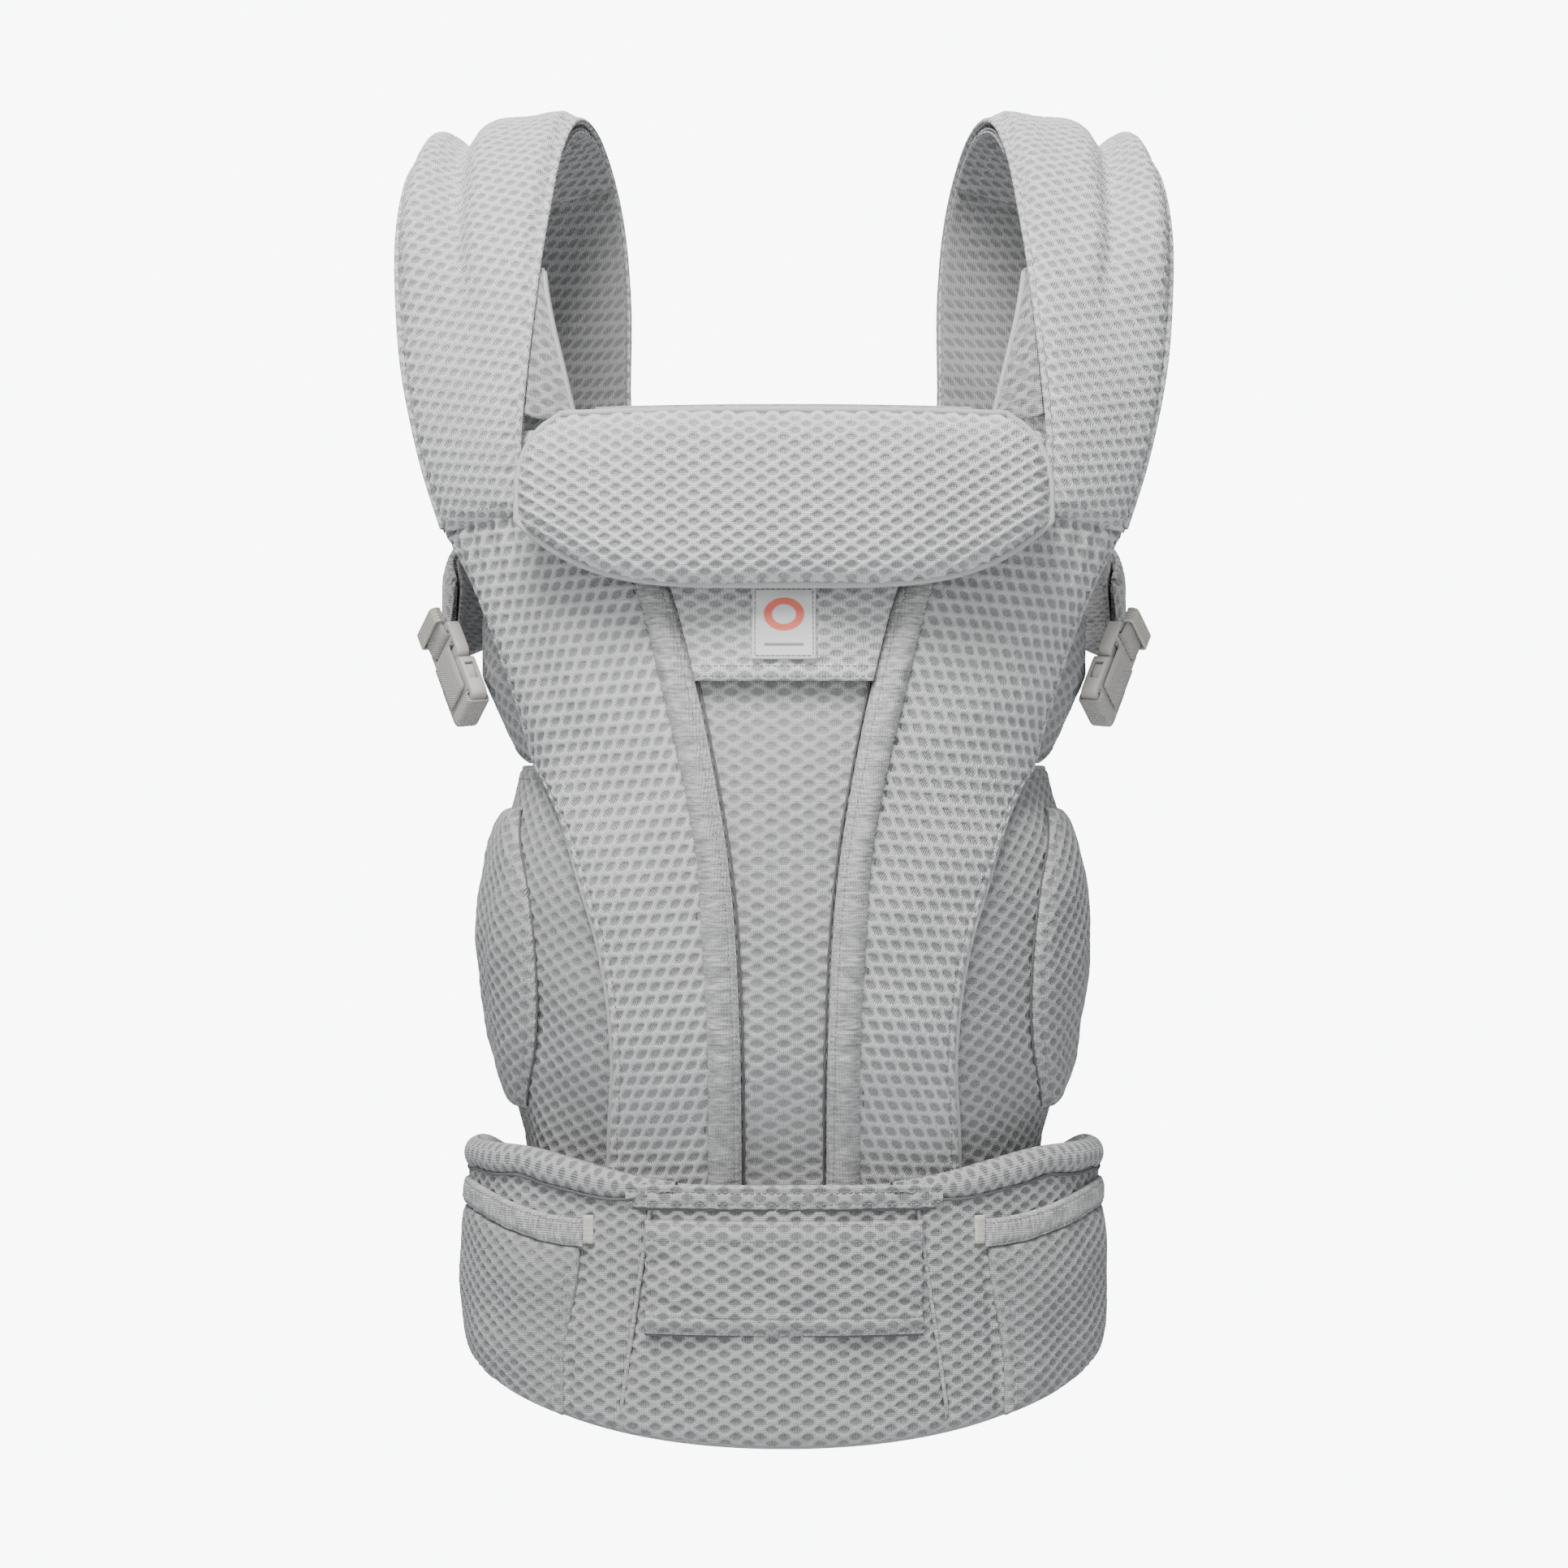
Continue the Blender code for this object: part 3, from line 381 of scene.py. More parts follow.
class Finish:
    def __init__(self, name):
        self.material = bpy.data.materials.new(name)
        self.material.use_nodes = True
        self.tree = self.material.node_tree
        self.tree.nodes.clear()

    def node(self, kind, settings, inputs, output=0):
        made = self.tree.nodes.new(kind)
        for key, value in settings.items():
            setattr(made, key, value)
        for key, value in inputs.items():
            if isinstance(value, Wire):
                self.tree.links.new(value.socket, made.inputs[key])
            else:
                made.inputs[key].default_value = value
        return Wire(self, made.outputs[output]) if len(made.outputs) else None

    def sum(self, operation, *values):
        return self.node("ShaderNodeMath", {"operation": operation}, dict(enumerate(values)))

    def clamp(self, value):
        return self.sum("MINIMUM", self.sum("MAXIMUM", value, 0.0), 1.0)

    def mix(self, share, a, b):
        a, b = ((*v, 1) if isinstance(v, tuple) else v for v in (a, b))
        return self.node("ShaderNodeMix", {"data_type": "RGBA"}, {0: share, 6: a, 7: b}, 2)

    def weave(self):    # the piece's own map, in metres across and along the cloth
        uv = self.node("ShaderNodeUVMap", {"uv_map": "weave"}, {})
        u = self.node("ShaderNodeSeparateXYZ", {}, {0: uv})
        return u, Wire(self, u.socket.node.outputs[1])

    def noise(self, scale, detail=2.0, rough=0.5):
        place = self.node("ShaderNodeTexCoord", {}, {}, 3)
        return self.node("ShaderNodeTexNoise", {}, {"Vector": place, "Scale": scale, "Detail": detail,
                                                    "Roughness": rough})

    def smooth(self, value, low, high, toLow=0.0, toHigh=1.0):
        return self.node("ShaderNodeMapRange", {"interpolation_type": "SMOOTHSTEP"},
                         {0: value, 1: low, 2: high, 3: toLow, 4: toHigh})

    def wave(self, value, pitch):    # 0 to 1 and back, once in each pitch
        return self.sum("SINE", value * (2 * math.pi / pitch)) * 0.5 + 0.5

    def bump(self, height, distance, strength=1.0):
        return self.node("ShaderNodeBump", {}, {"Height": height, "Distance": distance, "Strength": strength})

    def output(self, **inputs):
        names = {"color": "Base Color", "roughness": "Roughness", "normal": "Normal", "sheen": "Sheen Weight",
                 "sheenRough": "Sheen Roughness", "specular": "Specular IOR Level", "coat": "Coat Weight",
                 "alpha": "Alpha", "emission": "Emission Color", "glow": "Emission Strength"}
        shader = self.node("ShaderNodeBsdfPrincipled", {}, {names[k]: v for k, v in inputs.items()})
        self.node("ShaderNodeOutputMaterial", {}, {0: shader})
        return self.material


def airMesh(name, look):    # spacer mesh: light diagonal ridges round darker dimples, with fine upright ribs
    f = Finish(name)
    u, v = f.weave()
    c, s = math.cos(math.radians(look["turn"])), math.sin(math.radians(look["turn"]))
    a, b = u * c + v * s, v * c - u * s
    p = a / (meshCell["width"] * look["size"]) + b / (meshCell["height"] * look["size"])
    q = a / (meshCell["width"] * look["size"]) - b / (meshCell["height"] * look["size"])
    r = sum(f.sum("ABSOLUTE", k - f.sum("ROUND", k)) ** meshCell["power"] for k in (p, q))
    inDimple = f.smooth(r ** (1 / meshCell["power"]), 0.25, 0.43, 1.0, 0.0)
    rib = f.wave(a, look["ribPitch"])
    cross = f.wave(b, look["ribPitch"] * 0.8)
    cloud, fibre = f.noise(9.0), f.noise(1500.0, 2.0, 0.6)
    ridgeShadowRamp = (p - f.sum("ROUND", p)) - (q - f.sum("ROUND", q))    # -1 to 1 from a dimple's foot to its top, used to darken the top as painted shadow of the ridge above
    # dimples are darker partly as the mesh's own open cells and partly as painted shade in the recesses
    shade = inDimple * (0.66 + rib * 0.28 + ridgeShadowRamp * 0.14) * look["contrast"]
    shade = shade + fibre * 0.70 - 0.35 + cloud * 0.14 - 0.07
    shade = shade + (1 - rib) * (1 - inDimple) * look["ribShade"] + (1 - cross) * look["crossShade"]
    color = f.mix(f.clamp(shade), look["ridge"], look["dimple"])
    height = rib * (0.35 + inDimple * 0.65) + cross * 0.3 + fibre * 0.8
    return f.output(color=color, roughness=fibre * 0.12 + 0.84, normal=f.bump(height, look["bump"]),
                    sheen=0.25, sheenRough=0.5, specular=0.2)


def knit(name, look):    # smooth knit: small loops in rows, with soft uneven streaks
    f = Finish(name)
    u, v = f.weave()
    loop = f.wave(u + f.wave(v, look["pitch"]) * look["pitch"] * 0.25, look["pitch"]) \
        * (f.wave(v, look["pitch"] * 0.7) * 0.6 + 0.4)
    streak = f.node("ShaderNodeTexNoise", {"noise_dimensions": "2D"}, {
        "Vector": f.node("ShaderNodeCombineXYZ", {}, {0: u * look["streak"][0], 1: v * look["streak"][1]}),
        "Scale": 1.0, "Detail": 2.0})
    cloud, fibre = f.noise(14.0), f.noise(1800.0)
    shade = 0.30 + (1 - loop) * look["loopShade"] + (streak - 0.5) * look["streakShade"] + cloud * 0.2 \
        + fibre * 0.3 - 0.25
    color = f.mix(f.clamp(shade), look["light"], look["dark"])
    return f.output(color=color, roughness=fibre * 0.1 + 0.82,
                    normal=f.bump(loop + fibre * 0.5, look["bump"]), sheen=0.2, sheenRough=0.5,
                    specular=0.22)


def webWeave(name, look):    # narrow webbing: slanted ribs, tighter at its edges
    f = Finish(name)
    u, v = f.weave()
    slant = f.wave(v + f.sum("ABSOLUTE", u) * look["slant"], look["pitch"])
    warp = f.wave(u, look["pitch"] * 1.1)
    fibre = f.noise(1600.0)
    edge = f.smooth(f.sum("ABSOLUTE", u), look["half"] - 0.0022, look["half"] - 0.0012)
    shade = (1 - slant) * 0.5 + (1 - warp) * 0.22 + edge * 0.12 + fibre * 0.3 - 0.15
    color = f.mix(f.clamp(shade), look["light"], look["dark"])
    return f.output(color=color, roughness=fibre * 0.12 + 0.62,
                    normal=f.bump(slant + warp * 0.6, look["bump"]), sheen=0.12, sheenRough=0.4,
                    specular=0.3)


def moulded(name, look):    # moulded plastic: even, with a fine spark texture
    f = Finish(name)
    grain, cloud = f.noise(2600.0, 3.0), f.noise(40.0)
    color = f.mix(cloud * 0.6 + grain * 0.3, look["light"], look["dark"])
    return f.output(color=color, roughness=grain * 0.16 + look["roughness"], normal=f.bump(grain, 0.00005),
                    specular=0.45)


def wovenLabel(name, look):    # satin label with a plain woven ring and bar as its mark
    f = Finish(name)
    u, v = f.weave()
    far = f.sum("SQRT", u * u + (v - look["ringUp"]) ** 2)
    ringMark = f.smooth(f.sum("ABSOLUTE", far - look["ring"]), look["line"] * 0.8, look["line"] * 1.2, 1.0,
                        0.0)
    offBar = f.sum("ABSOLUTE", v + look["barDown"])
    barHigh = f.smooth(offBar, look["line"] * 0.35, look["line"] * 0.5, 1.0, 0.0)
    inBar = barHigh * f.smooth(f.sum("ABSOLUTE", u), look["bar"] * 0.97, look["bar"] * 1.03, 1.0, 0.0)
    thread = f.wave(v, 0.0005) * 0.6 + f.wave(u, 0.0007) * 0.4
    ground = f.mix(thread * 0.5 + f.noise(900.0) * 0.3, look["light"], look["shade"])
    color = f.mix(inBar * 0.9, f.mix(ringMark * 0.9, ground, look["ringMark"]), look["barMark"])
    return f.output(color=color, roughness=0.66 + thread * 0.1, normal=f.bump(thread, 0.00012), sheen=0.1,
                    specular=0.3)


def plain(name, color, roughness, depth=0.00008):    # thread, tape and foam: a fine fibre and soft unevenness
    f = Finish(name)
    fibre, cloud = f.noise(1400.0), f.noise(25.0)
    dark = tuple(x * 0.72 for x in color)
    return f.output(color=f.mix(fibre * 0.5 + cloud * 0.3, color, dark), roughness=roughness + fibre * 0.08,
                    normal=f.bump(fibre, depth), sheen=0.1, specular=0.25)


# the dimple colour holds both the mesh's own darker cells and painted shade in its recesses
grey = {"ridge": (0.88, 0.878, 0.87), "dimple": (0.17, 0.17, 0.169), "turn": 0.0, "size": 1.0,
        "ribPitch": 0.00135, "contrast": 0.64, "ribShade": 0.38, "crossShade": 0.12, "bump": 0.0007}
webLook = {"light": (0.62, 0.595, 0.56), "dark": (0.24, 0.225, 0.205), "bump": 0.0004}
finishes = {
    "mesh": airMesh("air_mesh", grey),
    "wingMesh": airMesh("air_mesh_on_the_bias", {**grey, "turn": wingTurn, "ridge": (0.82, 0.818, 0.81),
                                                 "ribPitch": 0.0011, "contrast": 0.72}),
    "strapMesh": airMesh("air_mesh_strap", {**grey, "turn": strapTurn}),
    # painted shade: a darker copy of the air mesh for the seat sides, leg pads, buckle guards and strap
    # corners, which sit in shade
    "shadedSideMesh": airMesh("air_mesh_side_painted_shade", {**grey, "ridge": (0.53, 0.529, 0.525), "contrast": 0.74,
                                          "turn": sideLattice[0], "size": sideLattice[1]}),
    "beltMesh": airMesh("air_mesh_belt", {**grey, "size": beltSize, "contrast": 0.86,
                                          "ridge": (0.56, 0.559, 0.555)}),
    "pocketMesh": airMesh("air_mesh_pocket", {**grey, "contrast": 0.62, "ridge": (0.48, 0.479, 0.475)}),
    "liningMesh": airMesh("air_mesh_lining", {**grey, "ridge": (0.48, 0.478, 0.474),
                                              "dimple": (0.13, 0.13, 0.129), "contrast": 0.66}),
    "centreMesh": airMesh("air_mesh_centre", {**grey, "ridge": (0.74, 0.738, 0.732), "contrast": 0.62,
                                              "ribPitch": 0.0010, "ribShade": 0.50, "size": centreSize}),
    "knit": knit("smooth_knit", {"light": (0.72, 0.717, 0.708), "dark": (0.30, 0.298, 0.292), "pitch": 0.0013,
                                 "streak": (160.0, 700.0), "loopShade": 0.45, "streakShade": 1.9,
                                 "bump": 0.0006}),
    "lining": knit("lining_knit", {"light": (0.42, 0.42, 0.418), "dark": (0.22, 0.22, 0.22), "pitch": 0.0009,
                                   "streak": (200.0, 200.0), "loopShade": 0.3, "streakShade": 0.3,
                                   "bump": 0.00015}),
    "piping": plain("piping_cloth", (0.52, 0.516, 0.507), 0.8),
    "binding": knit("binding_tape", {"light": (0.58, 0.575, 0.565), "dark": (0.36, 0.357, 0.35),
                                     "pitch": 0.0008, "streak": (300.0, 300.0), "loopShade": 0.3,
                                     "streakShade": 0.2, "bump": 0.00012}),
    "elastic": webWeave("elastic_tape", {"light": (0.70, 0.67, 0.60), "dark": (0.48, 0.45, 0.39),
                                         "pitch": 0.0011, "slant": 1.2, "half": 0.01, "bump": 0.0002}),
    "web25": webWeave("webbing_25", {**webLook, "pitch": 0.0015, "slant": 0.7, "half": 0.0125}),
    "web38": webWeave("webbing_38", {**webLook, "pitch": 0.0017, "slant": 0.5, "half": 0.019}),
    "plastic": moulded("moulded_plastic", {"light": (0.56, 0.535, 0.50), "dark": (0.47, 0.447, 0.415),
                                           "roughness": 0.34}),
    "label": wovenLabel("woven_label_satin", {"light": (0.80, 0.80, 0.79), "shade": (0.62, 0.62, 0.61),
                                              "ringMark": (0.80, 0.13, 0.07), "barMark": (0.20, 0.22, 0.27),
                                              "ring": 0.0072, "ringUp": 0.0045, "line": 0.0019,
                                              "bar": 0.0090, "barDown": 0.0120}),
    # painted shadow: near-black cloth for thin cords laid where shade falls in folds, creases, seams and
    # under edges
    "fold": plain("painted_shadow_cloth", (0.13, 0.13, 0.129), 0.9),
    "thread": plain("thread", (0.30, 0.298, 0.293), 0.7),
    "hood": knit("hood_cloth", {"light": (0.50, 0.50, 0.495), "dark": (0.32, 0.32, 0.318), "pitch": 0.0008,
                                "streak": (100.0, 100.0), "loopShade": 0.2, "streakShade": 0.3,
                                "bump": 0.0001}),
}
print("finishes made:", len(finishes))


# the wearer's belt, as ovals round the waist
belt = {"halfX": 0.167, "halfY": 0.122, "end": 128, "low": -0.0716, "high": 0.0714, "out": 0.0126,
        "lowRise": 0.050, "topRise": 0.017, "edgeRadius": 0.0075}


# hem along the belt's top in front, the pouch, and the side pockets with their bands and elastic tabs
hem = {"half": 29.5, "low": 0.0588, "high": 0.0716, "thick": 0.0024}
pouch = {"half": 25.5, "low": -0.0090, "high": 0.0520, "thick": 0.0026, "swell": 0.0034,
         "topRows": (0.0497, 0.0415), "lowRows": (-0.0003, -0.0066)}
# fold: radius of the near-black cord that paints the shadow at each pocket's front edge
pocket = {"start": 39.5, "end": 104, "thick": 0.0026, "swell": 0.0034, "bandTop": 0.0512, "bandRise": 0.0155,
          "bandHeight": 0.0155, "fold": 0.0016}


def onBelt(degrees, z, lift=0.0):
    a = np.radians(degrees)
    a, z, lift = np.broadcast_arrays(a, np.asarray(z, float), np.asarray(lift, float))
    normal = unit(np.stack([np.sin(a) / belt["halfX"], -np.cos(a) / belt["halfY"], 0 * a], -1))
    return np.stack([belt["halfX"] * np.sin(a), -belt["halfY"] * np.cos(a), z], -1) + normal * lift[..., None]


def beltLow(degrees):
    return belt["low"] + belt["lowRise"] * (1 - np.cos(np.radians(degrees))) ** 1.05


def beltHigh(degrees):
    rise = belt["topRise"] * ease((np.abs(degrees) - 15) / 45)
    return belt["high"] + rise - 0.020 * ease((np.abs(degrees) - 95) / (belt["end"] - 95))


def beltGrid(first, last, low, high, rows, columns):    # angles, heights, points at no lift, outward normals
    angle = np.broadcast_to(np.linspace(first, last, columns), (rows, columns))
    share = np.linspace(0, 1, rows)[:, None]
    low, high = (edge(angle) if callable(edge) else edge + 0 * angle for edge in (low, high))
    z = low + (high - low) * share
    flat = onBelt(angle, z)
    return angle, z, flat, onBelt(angle, z, 1.0) - flat


def beltAcross(angle):    # distance round the belt's outside from its middle
    fine = np.linspace(-200, 200, 2001)
    run = runLength(onBelt(fine, 0.0, belt["out"]))
    return np.interp(angle, fine, run - run[1000])


def makeBelt():
    angle, z, flat, normal = beltGrid(-belt["end"], belt["end"], beltLow, beltHigh, 93, 401)
    edge = edgeDistance(flat)[0]
    full = roll(edge, belt["edgeRadius"])
    u, v = beltAcross(angle), z
    seamAt = np.interp(z, [-0.066, 0.067], [31.5, 24.3])    # piped seam at each side of the middle
    seam = bell(beltAcross(seamAt) - np.abs(u), 0.0026)
    # a shadow line runs down in front of each pocket
    foldAt = beltAcross(pocket["start"] + 3.9 * ease((0.045 - z) / 0.10)) - 0.0030
    seam = seam + 0.9 * bell(foldAt - np.abs(u), 0.0030) * ease((0.036 - z) / 0.004)
    hollow = dimple(u, v, size=beltSize)
    puff = 0.0012 * waves(u, v, 0.09, 3)
    outLift = belt["out"] * (0.36 + 0.64 * full) - full * (0.0014 * hollow + 0.0026 * seam) + full * puff
    inLift = belt["out"] * 0.36 * (1 - full)
    quilt("belt", 1, flat, normal, outLift, inLift, (u, v), "beltMesh",
          ("belt_cover", "belt_foam", "belt_lining"))
    pipes = []
    for side in (-1, 1):
        t = np.linspace(0, 1, 60)
        pipes.append(onBelt(side * (24.3 + 7.0 * t), 0.0665 - 0.1300 * t,
                            belt["out"] - 0.0018 - 0.007 * bell(t - 1, 0.06)))
    cords("belt_seam_piping", pipes, 0.0012, "knit")
    a = np.linspace(-127.4, 127.4, 300)
    cords("belt_lower_binding", [onBelt(a, beltLow(a) + 0.0006, belt["out"] * 0.36)], 0.0021, "binding",
          hint=(0, 1, 0))
    for name, side in bothSides:
        a = np.linspace(20, 126.5, 170)
        thicker = 0.35 + 0.65 * ease((a - 20) / 14)
        fat = 0.0088 * thicker * (1 - 0.35 * ease((a - 112) / 15))
        fat = fat * (1 + 0.05 * waves(a * 0.002, 0 * a, 0.03, 8))
        top = beltHigh(a) - fat + 0.0012
        cords(name + "_belt_roll", [onBelt(a, top, belt["out"] * 0.60)], fat, "beltMesh", sides=32,
              hint=(0, 0, 1), side=side)
        # a thin near-black cord paints the shadow under the roll
        cords(name + "_belt_roll_painted_shadow", [onBelt(a, top - fat * 0.92, belt["out"] + 0.0010)], 0.0008,
              "fold", side=side)
        r = np.linspace(0, 1, 50)
        end = onBelt(127.6, beltLow(127.6) + r * (beltHigh(127.6) - beltLow(127.6)), belt["out"] * 0.36)
        cords(name + "_belt_end_binding", [end], 0.0021, "binding", hint=(0, 1, 0), side=side)


def sewBelt(body, angles, z, lift, side=1):
    p = onBelt(angles, z, lift) * (side, 1, 1)
    sew(body, p, (onBelt(angles, z, 1.0) - onBelt(angles, z, 0.0)) * (side, 1, 1))


def makeHem():
    angle, z, flat, normal = beltGrid(-hem["half"], hem["half"], hem["low"], hem["high"], 13, 241)
    edge, sides = edgeDistance(flat)
    thick = hem["thick"] * (0.3 + 0.7 * roll(edge, 0.0016))
    thick = thick - 0.0011 * (bell(sides[2] - 0.0030, 0.0009) + bell(sides[3] - 0.0034, 0.0009))
    u = beltAcross(angle)
    wrinkle = 0.0004 * waves(u * 3, z, 0.03, 5)
    base = belt["out"] - 0.0004
    quilt("belt_hem", 1, flat, normal, base + thick + wrinkle, base - 0.0012, (u, z), "beltMesh")
    a = np.linspace(-hem["half"] + 0.7, hem["half"] - 0.7, 200)
    for rowZ in (hem["low"] + 0.0030, hem["high"] - 0.0034):
        sewBelt("carrier", a, rowZ, base + hem["thick"] - 0.0002)


def makePouch():
    angle, z, flat, normal = beltGrid(-pouch["half"], pouch["half"], pouch["low"], pouch["high"], 57, 117)
    edge = edgeDistance(flat)[0]
    u, v = beltAcross(angle), z
    top, low = ease((z - 0.0392) / 0.0014), ease((0.0022 - z) / 0.0014)    # the hems are double
    puffed = pouch["swell"] * roll(edge, 0.030) ** 1.5
    lift = belt["out"] + pouch["thick"] * (0.35 + 0.65 * roll(edge, 0.0016)) + puffed
    lift = lift + 0.0007 * (top + low) - 0.0013 * dimple(u, v, size=beltSize) * (1 - top) * (1 - low)
    for row in pouch["topRows"] + pouch["lowRows"]:
        lift = lift - 0.0011 * bell(z - row, 0.0010)
    lift = lift + 0.0007 * waves(u, v * 2, 0.030, 21) * (1 - top * 0.3)
    seams = [((row - pouch["low"]) / (pouch["high"] - pouch["low"]), [0.012, 0.988])
             for row in pouch["topRows"] + pouch["lowRows"]]
    seams += [([0.18, 0.80], column) for column in (0.012, 0.988)]
    quilt("belt_pouch_front", 1, flat, normal, lift, belt["out"] - 0.0006, (u, v), "beltMesh",
          ("belt_pouch",), seams=seams)
    a = np.linspace(-pouch["half"], pouch["half"], 90)
    cords("belt_pouch_fold", [onBelt(a, pouch["low"] + 0.0002, belt["out"] + 0.0010)], 0.0012, "knit")
    # near-black cords paint the shadow under the pouch's lower fold and under the hem
    cords("belt_pouch_painted_shadows", [onBelt(a, pouch["low"] - 0.0012, belt["out"] - 0.0002),
                                onBelt(a * 1.1, hem["low"] - 0.0004, belt["out"] - 0.0002)], 0.0009, "fold")


def bandHigh(a):
    return pocket["bandTop"] + pocket["bandRise"] * ease((np.abs(a) - 38) / 45)


def makePocket(name, side):
    rows, columns = 85, 129
    first = pocket["start"] + 3.9 * ease(np.linspace(1.3, 0, rows))[:, None]    # its front edge leans back
    angle = first + (pocket["end"] - first) * np.linspace(0, 1, columns)
    low, high = beltLow(angle) + 0.0010, bandHigh(angle) - pocket["bandHeight"] - 0.0002
    z = low + (high - low) * np.linspace(0, 1, rows)[:, None]
    flat = onBelt(angle, z)
    normal = onBelt(angle, z, 1.0) - flat
    edge, sides = edgeDistance(flat)
    u, v = beltAcross(angle), z
    front = bell(sides[0], 0.004)
    puffed = pocket["swell"] * roll(edge, 0.034) ** 1.4
    lift = belt["out"] + pocket["thick"] * (0.3 + 0.7 * roll(edge, 0.0020)) + puffed
    lift = lift - 0.0012 * dimple(u, v) * roll(edge, 0.006) - 0.0006 * bell(sides[0] - 0.0045, 0.0011)
    lift = lift + 0.0009 * waves(u, v, 0.055, 31 + side) * roll(edge, 0.02) + 0.0006 * front
    quilt(name + "_pocket_front", side, flat, normal, lift, belt["out"] - 0.0006, (u, v), "pocketMesh",
          (name + "_pocket",), seams=[([0.03, 0.97], 0.036)])
    # this cord paints the shadow along the pocket's front edge in near-black
    facing = onBelt(angle[3:-1, 0] - 0.45, z[3:-1, 0], belt["out"] + 0.0006)
    cords(name + "_pocket_painted_shadow", [facing], pocket["fold"], "fold", side=side)


def makePocketBand(name, side):
    angle, z, flat, normal = beltGrid(pocket["start"] - 0.8, pocket["end"],
                                      lambda a: bandHigh(a) - pocket["bandHeight"], bandHigh, 21, 189)
    edge, sides = edgeDistance(flat)
    u, v = beltAcross(angle), z
    lift = belt["out"] + 0.0040 * (0.3 + 0.7 * roll(edge, 0.0042)) + 0.0005 * waves(u * 2, v, 0.02, 41 + side)
    lift = lift - 0.0007 * (bell(sides[2] - 0.0024, 0.0009)) - 0.0006 * bell(sides[3] - 0.0024, 0.0009)
    quilt(name + "_pocket_band_tape", side, flat, normal, lift, belt["out"] - 0.0004, (v, u), "knit",
          (name + "_pocket_band",), seams=[(0.14, [0.01, 0.99]), (0.86, [0.01, 0.99]), ([0.2, 0.8], 0.155)])
    angle, z, flat, normal = beltGrid(36.4, 38.7, 0.0378, 0.0535, 21, 9)
    edge, sides = edgeDistance(flat)
    u = beltAcross(angle) - beltAcross(37.55)
    lift = belt["out"] + 0.0016 * (0.4 + 0.6 * roll(edge, 0.0012))
    lift = lift - 0.0004 * bell(np.sin(z / 0.0011 * math.pi), 0.5)
    quilt(name + "_pocket_elastic", side, flat, normal, lift, belt["out"] - 0.0005, (u, z), "elastic")


makeBelt()
makeHem()
makePouch()
for sideName, sideSign in bothSides:
    makePocket(sideName, sideSign)
    makePocketBand(sideName, sideSign)
print("belt, hem, pouch and pockets done")


# the body panel, as ovals that change with height
form = {"drape": 0.4, "stretch": 1.13, "backY": -0.015, "low": 0.056, "high": 0.487, "sideHigh": 0.300,
        "wingHigh": 0.432, "flapLow": 0.347}
formHalf = [(0.056, 0.152), (0.086, 0.150), (0.141, 0.163), (0.201, 0.171), (0.251, 0.166), (0.300, 0.153),
            (0.341, 0.166), (0.401, 0.186), (0.434, 0.197), (0.487, 0.206)]
formDeep = [(0.056, 0.090), (0.086, 0.099), (0.141, 0.128), (0.201, 0.141), (0.251, 0.145), (0.300, 0.143),
            (0.341, 0.137), (0.401, 0.125), (0.434, 0.118), (0.487, 0.105)]
railInner = [(0.056, 0.0240), (0.141, 0.0245), (0.210, 0.0273), (0.254, 0.0317), (0.298, 0.039),
             (0.342, 0.048), (0.382, 0.058), (0.402, 0.064), (0.487, 0.084)]
railOuter = [(0.056, 0.0415), (0.141, 0.0405), (0.210, 0.0436), (0.254, 0.0466), (0.298, 0.0546),
             (0.342, 0.065), (0.382, 0.0748), (0.402, 0.080), (0.487, 0.099)]
wingEdge = [(0.056, 40), (0.086, 40), (0.141, 35), (0.201, 36), (0.251, 44), (0.271, 49.5), (0.288, 57),
            (0.305, 65), (0.341, 64), (0.371, 65), (0.401, 67.5), (0.434, 73), (0.443, 75)]
legSeam = [(0.108, 72), (0.141, 60), (0.190, 55), (0.235, 59), (0.278, 72)]


def onForm(degrees, z, lift=0.0):
    a, z, lift = np.broadcast_arrays(np.radians(degrees), np.asarray(z, float), np.asarray(lift, float))
    half, deep = curve(formHalf, z), curve(formDeep, z)
    normal = unit(np.stack([np.sin(a) / half, -np.cos(a) / deep, 0 * a], -1))
    return np.stack([half * np.sin(a), form["backY"] - deep * np.cos(a), z], -1) + normal * lift[..., None]


def formAngle(x, z):
    return np.degrees(np.arcsin(np.clip(x / curve(formHalf, z), -1, 1)))


def railAngle(table, z):
    return formAngle(curve(table, z), z)


def formGrid(low, high, inner, outer, rows, columns):    # with no inner edge, the same to both sides
    heights = np.linspace(low, high, rows)
    share = np.linspace(0, 1, columns)
    last = outer(heights)[:, None]
    first = inner(heights)[:, None] if inner else -last
    angle = first + (last - first) * share
    z = np.broadcast_to(heights[:, None], angle.shape)
    flat = onForm(angle, z)
    across = np.radians(angle) * (curve(formHalf, z) + curve(formDeep, z)) / 2
    return z, flat, onForm(angle, z, 1.0) - flat, across


